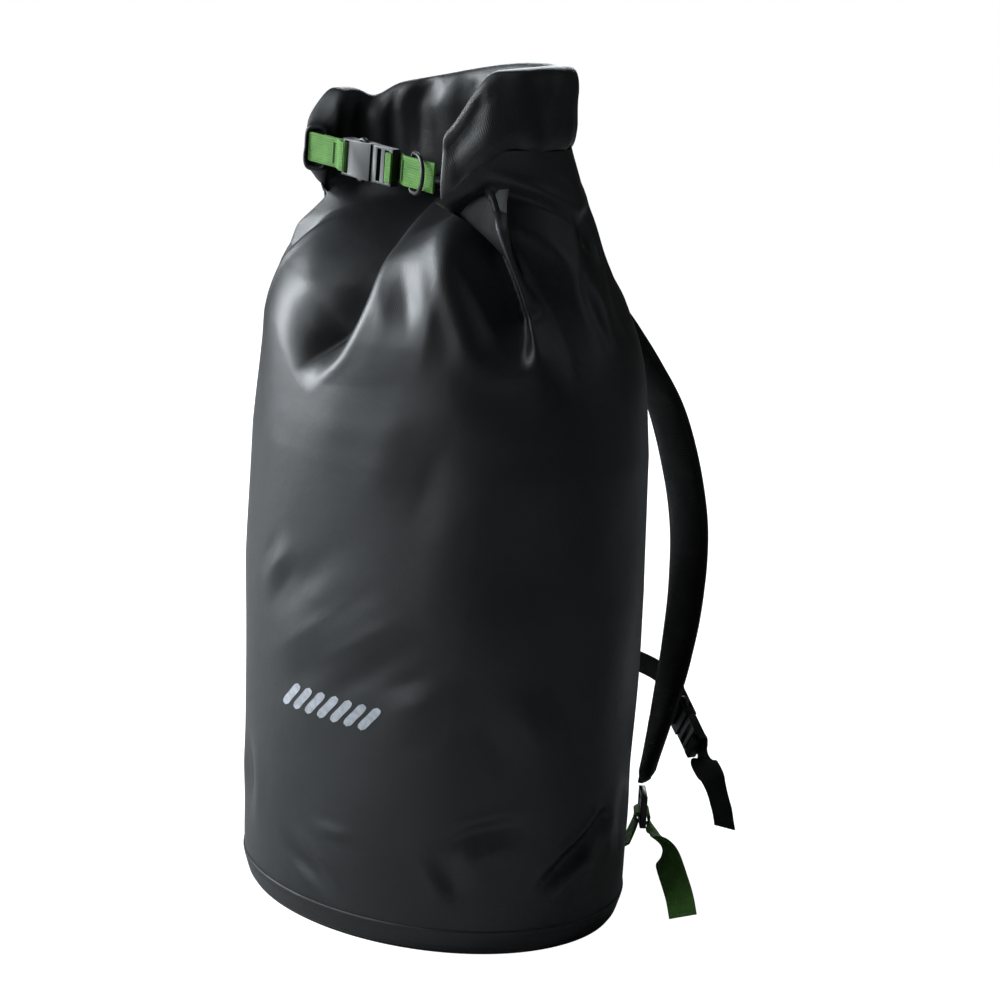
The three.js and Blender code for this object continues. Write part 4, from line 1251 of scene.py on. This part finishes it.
def make_shoulder_strap(side):
    """A padded strap with its two bound and stitched edges."""
    suffix = SIDE_NAMES[side]
    count = 150
    curve, lengths, directions = shoulder_run(side, count)
    total = lengths[-1]
    sections = []
    for s in lengths:
        left = total - s
        narrowing = 1 - 0.30 * float(smooth(1 - left / 0.062)) - 0.06 * float(smooth(1 - s / 0.02))
        closing = 1 - 0.55 * float(smooth(1 - left / 0.010)) - 0.5 * float(smooth(1 - s / 0.008))
        quilt = 1 - 0.10 * math.exp(-((((s - 0.02) % 0.075) - 0.0375) / 0.0035) ** 2)
        sections.append(pad_section(STRAP_WIDTH * narrowing - 0.003, (STRAP_THICK + 0.003) * closing * quilt))
    sections = np.array(sections)
    texture = np.r_[sections[count // 2, :, 0], sections[count // 2, 0, 0]]
    strap = swept(f"shoulder_pad_{suffix}", curve, directions, sections, MESH_FOAM, lengths, texture)
    puff(strap, 0.0018, 10, 2.0)
    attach(strap, "bag")
    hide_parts(f"shoulder_strap_{suffix}")
    stitches = []
    _, across, outwards = strap_frame(curve, directions)
    edge = np.array([abs(section[:, 0]).max() for section in sections])
    turns = np.linspace(0, 2 * math.pi, 14, endpoint=False)
    bound = [[(0.0037 * math.cos(a), 0.0026 * squared(math.sin(a), 0.7)) for a in turns]] * count
    for which, place in ((-1, "inner"), (1, "outer")):
        centres = curve + across * (which * (edge - 0.0022))[:, None]
        name = f"shoulder_binding_{suffix}_{place}"
        tape = swept(name, centres, directions, bound, BINDING, lengths, np.linspace(0, 0.012, 15))
        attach(tape, "bag")
        for face in (-1, 1):
            row = centres - across * which * 0.0012 + outwards * face * 0.0026
            stitches += stitch_line(row[3:-3], outwards[3:-3] * face)
    sew(f"shoulder_stitching_{suffix}", stitches, "bag", THREAD)


def make_adjuster(side):
    """The ladder lock, and the green webbing through it from the bag's side to its loose end."""
    suffix = SIDE_NAMES[side]
    moulded(f"ladder_lock_{suffix}", "bag", f"ladder_lock_{suffix}_moulded", 0.001)
    across = across_angle(LOCK_TURN, side)
    turn = math.radians(LOCK_TURN)
    outward = np.array([math.sin(turn) * side, across[0] * side, 0])
    at = np.array([LOCK_AT[0] * side, LOCK_AT[1], LOCK_AT[2]])
    face = LOCK_THICK / 2 + LOOP_GAP + WEB_T
    bar = LOCK_HEIGHT / 2 - 0.020
    surface, normal = back_point(LOCK_AT[0] - 0.004, 0.048)
    anchor = surface + normal * (LIE + WEB_T / 2)
    anchor[0] *= side
    lock_points = [
        (-face, bar - 0.006),
        (-face, bar + 0.0008),
        (0, bar + LOOP_GAP + WEB_T),
        (face, bar + 0.0008),
        (face, bar - 0.005),
        (face + 0.001, bar - 0.009),
    ]
    through = [at + outward * y + np.array([0, 0, z]) for y, z in lock_points]
    tail = [np.array([x * side, y, z]) for x, y, z in TAIL_PATH]
    tail_across = TAIL_ACROSS * [side, 1, 1] * side

    def twisting(t):
        return across + (tail_across - across) * float(smooth((t - 0.5) / 0.3))

    points = [anchor, *through, *tail]
    node = f"strap_webbing_{suffix}"
    run = webbing(f"adjusting_tape_{suffix}", points, twisting, GREEN, "bag", node, 200, hem=0.014)
    sew(f"adjusting_hem_{suffix}", hem_rows(*run), "bag", GREEN_THREAD)


def hem_rows(curve, lengths, directions):
    """Two rows of stitches across a folded hem, on both faces."""
    made = []
    _, across, outwards = strap_frame(curve, directions)
    for distance in (0.0115, 0.0035):
        k = int(np.searchsorted(lengths, lengths[-1] - distance))
        for face in (-1, 1):
            middle = curve[k] + outwards[k] * face * WEB_T * 0.95
            line = [middle + across[k] * u for u in np.linspace(-0.0105, 0.0105, 9)]
            made += stitch_line(line, [outwards[k] * face] * 9, 0.0022, 0.0008, 0.00034)
    return made


# ------------------------------------------------------------------ the chest strap
def make_chest_strap():
    """The chest strap's buckle, keeper and slider, and its two lengths of webbing."""
    axes = chest_axes()
    moulded("chest_socket", "bag", "chest_socket_moulded")
    moulded("chest_plug", "chest_release", "chest_plug_moulded", 0.0007)
    moulded("chest_keeper", "bag", "chest_keeper_moulded", 0.0012)
    moulded("chest_slider", "bag", "chest_slider_moulded", 0.0012)
    release_arms(axes, "chest_release", "chest_arm")
    level = np.array([0.0, 0, 1])

    def turning(t):
        return level + (axes.z - level) * float(smooth((t - 0.3) / 0.3))

    points = [*CHEST_PATH, *axes.place(socket_loop(0.034))]
    webbing("chest_tape", points, turning, BLACK_WEB, "bag", "chest_webbing", 240)
    tail = [*CHEST_TAIL_PATH, *axes.place(plug_loop())[1:]]
    webbing("chest_tail_tape", tail, axes.z, BLACK_WEB, "chest_release", "chest_tail", 150)


# ------------------------------------------------------------------ the base
BASE_GIRTH = 1.04


def make_base_tape():
    """The tape welded round the foot, with rounded edges and two sunken weld lines."""
    around, rows = 240, 26
    shares = np.arange(around) / around
    points = []
    for j in range(rows):
        t = j / (rows - 1)
        z = 0.0030 + 0.0215 * t
        rounding = 1 - abs(2 * t - 1) ** 8
        lines = sum(math.exp(-(((t - c) / 0.035) ** 2)) for c in (0.18, 0.82))
        lift = 0.0003 + 0.0013 * rounding - 0.0004 * lines
        row = []
        for s in shares:
            step = 0.004
            side = tube_point(s + step, z) - tube_point(s - step, z)
            up = tube_point(s, z + 0.002) - tube_point(s, max(z - 0.002, 0.001))
            row.append(tube_point(s, z) + unit(np.cross(side, up)) * lift)
        points.append(row)
    across = np.arange(around + 1) * BASE_GIRTH / around
    vertices, faces, uv = grid(points, True, False, across, np.arange(rows + 1) * 0.0009)
    tape = new_object("base_tape_band", vertices, faces, TARP_EDGE, uv)
    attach(tape, "bag")
    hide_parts("base_tape")


def make_base_panel():
    """The flat oval underneath, with a raised weld line and its rim."""
    _, half_width_x, half_depth, _ = RINGS[0]
    weld = [(0.93, 0.0), (0.95, 0.0008), (0.972, 0.0008), (0.99, 0.0)]
    rings = [(0.002, 0.0), (0.6, 0.0), *weld, (1.0, 0.0010), (1.004, 0.0035)]
    count = 240
    turns = [2 * math.pi * k / count for k in range(count)]
    points = [
        [(half_width_x * share * math.cos(a), half_depth * share * math.sin(a), height) for a in turns]
        for share, height in rings
    ]
    across = np.arange(count + 1) * BASE_GIRTH / count
    out = [share * 0.18 for share, _ in rings] + [0.19]
    vertices, faces, uv = grid(points, True, False, across, out)
    uv = uv.reshape(-1, 4, 2)[:, ::-1].reshape(-1, 2)
    panel = new_object("base_panel_cloth", vertices, faces[:, ::-1], TARP_EDGE, uv)
    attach(panel, "bag")
    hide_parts("base_panel")


# ------------------------------------------------------------------ cloth
def puff(obj, cap, frames, pressure):
    """Lets a padded piece swell as cloth under a little pressure, no further than cap, and applies it."""
    before = coordinates(obj)
    cloth = obj.modifiers.new("cloth", "CLOTH")
    settings = cloth.settings
    settings.quality = 5
    settings.mass = 0.3
    settings.tension_stiffness = settings.compression_stiffness = 30
    settings.shear_stiffness = 15
    settings.bending_stiffness = 1.5
    settings.use_pressure = True
    settings.uniform_pressure_force = pressure
    settings.effector_weights.gravity = 0.0
    cloth.collision_settings.use_collision = False
    scene = bpy.context.scene
    scene.frame_start, scene.frame_end = 1, frames
    cloth.point_cache.frame_start, cloth.point_cache.frame_end = 1, frames
    for number in range(1, frames + 1):
        scene.frame_set(number)
    bake_modifiers(obj)
    after = coordinates(obj)
    move = after - before
    far = np.maximum(np.linalg.norm(move, axis=1, keepdims=True), 1e-9)
    capped = before + move * np.minimum(1.0, cap / far)
    obj.data.vertices.foreach_set("co", capped.astype(np.float32).ravel())
    obj.data.update()
    obj.data.shade_smooth()
    scene.frame_set(1)


# ------------------------------------------------------------------ the printed mark
def make_mark(tube):
    """A generic printed sign, seven slanting strands like a laid rope, pressed onto the front."""
    tree = BVHTree.FromObject(tube, bpy.context.evaluated_depsgraph_get())
    strands, pitch, tall, slant = 7, 0.0150, 0.024, 0.010
    vertices, faces = [], []
    for k in range(strands):
        middle = (k - (strands - 1) / 2) * pitch
        points = []
        for v in [j / 13 * 2 - 1 for j in range(14)]:
            wide = 0.0050 * (1 - abs(v) ** 5) ** 0.5 + 0.00005
            lean = slant * v * (1.15 - 0.3 * v * v)
            row = []
            for u in [i / 6 * 2 - 1 for i in range(7)]:
                start = Vector((middle + u * wide + lean - 0.004, -0.4, 0.205 + v * tall / 2))
                hit, normal, _, _ = tree.ray_cast(start, Vector((0, 1, 0)))
                row.append(hit + normal * 0.00035)
            points.append(row)
        strand, strand_faces, _ = grid(points)
        faces += list(strand_faces + len(vertices))
        vertices += list(strand)
    mark = new_object("printed_mark", vertices, faces, PRINT)
    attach(mark, "bag")


make_camera()
make_studio()
tube = make_tube()
make_mark(tube)
bend_with_wings(tube, ("bag_fabric_left", "bag_fabric_right"), ("bag_tube", "bag_tube"))
roll = make_roll()
bend_with_wings(roll, ("roll_fabric_left", "roll_fabric_right"), ("roll_left", "roll_right"))
make_base_tape()
make_base_panel()
make_closure()
make_back_pad()
make_yoke()
make_haul_loop()
for side in (1, -1):
    make_shoulder_strap(side)
    make_adjuster(side)
make_chest_strap()
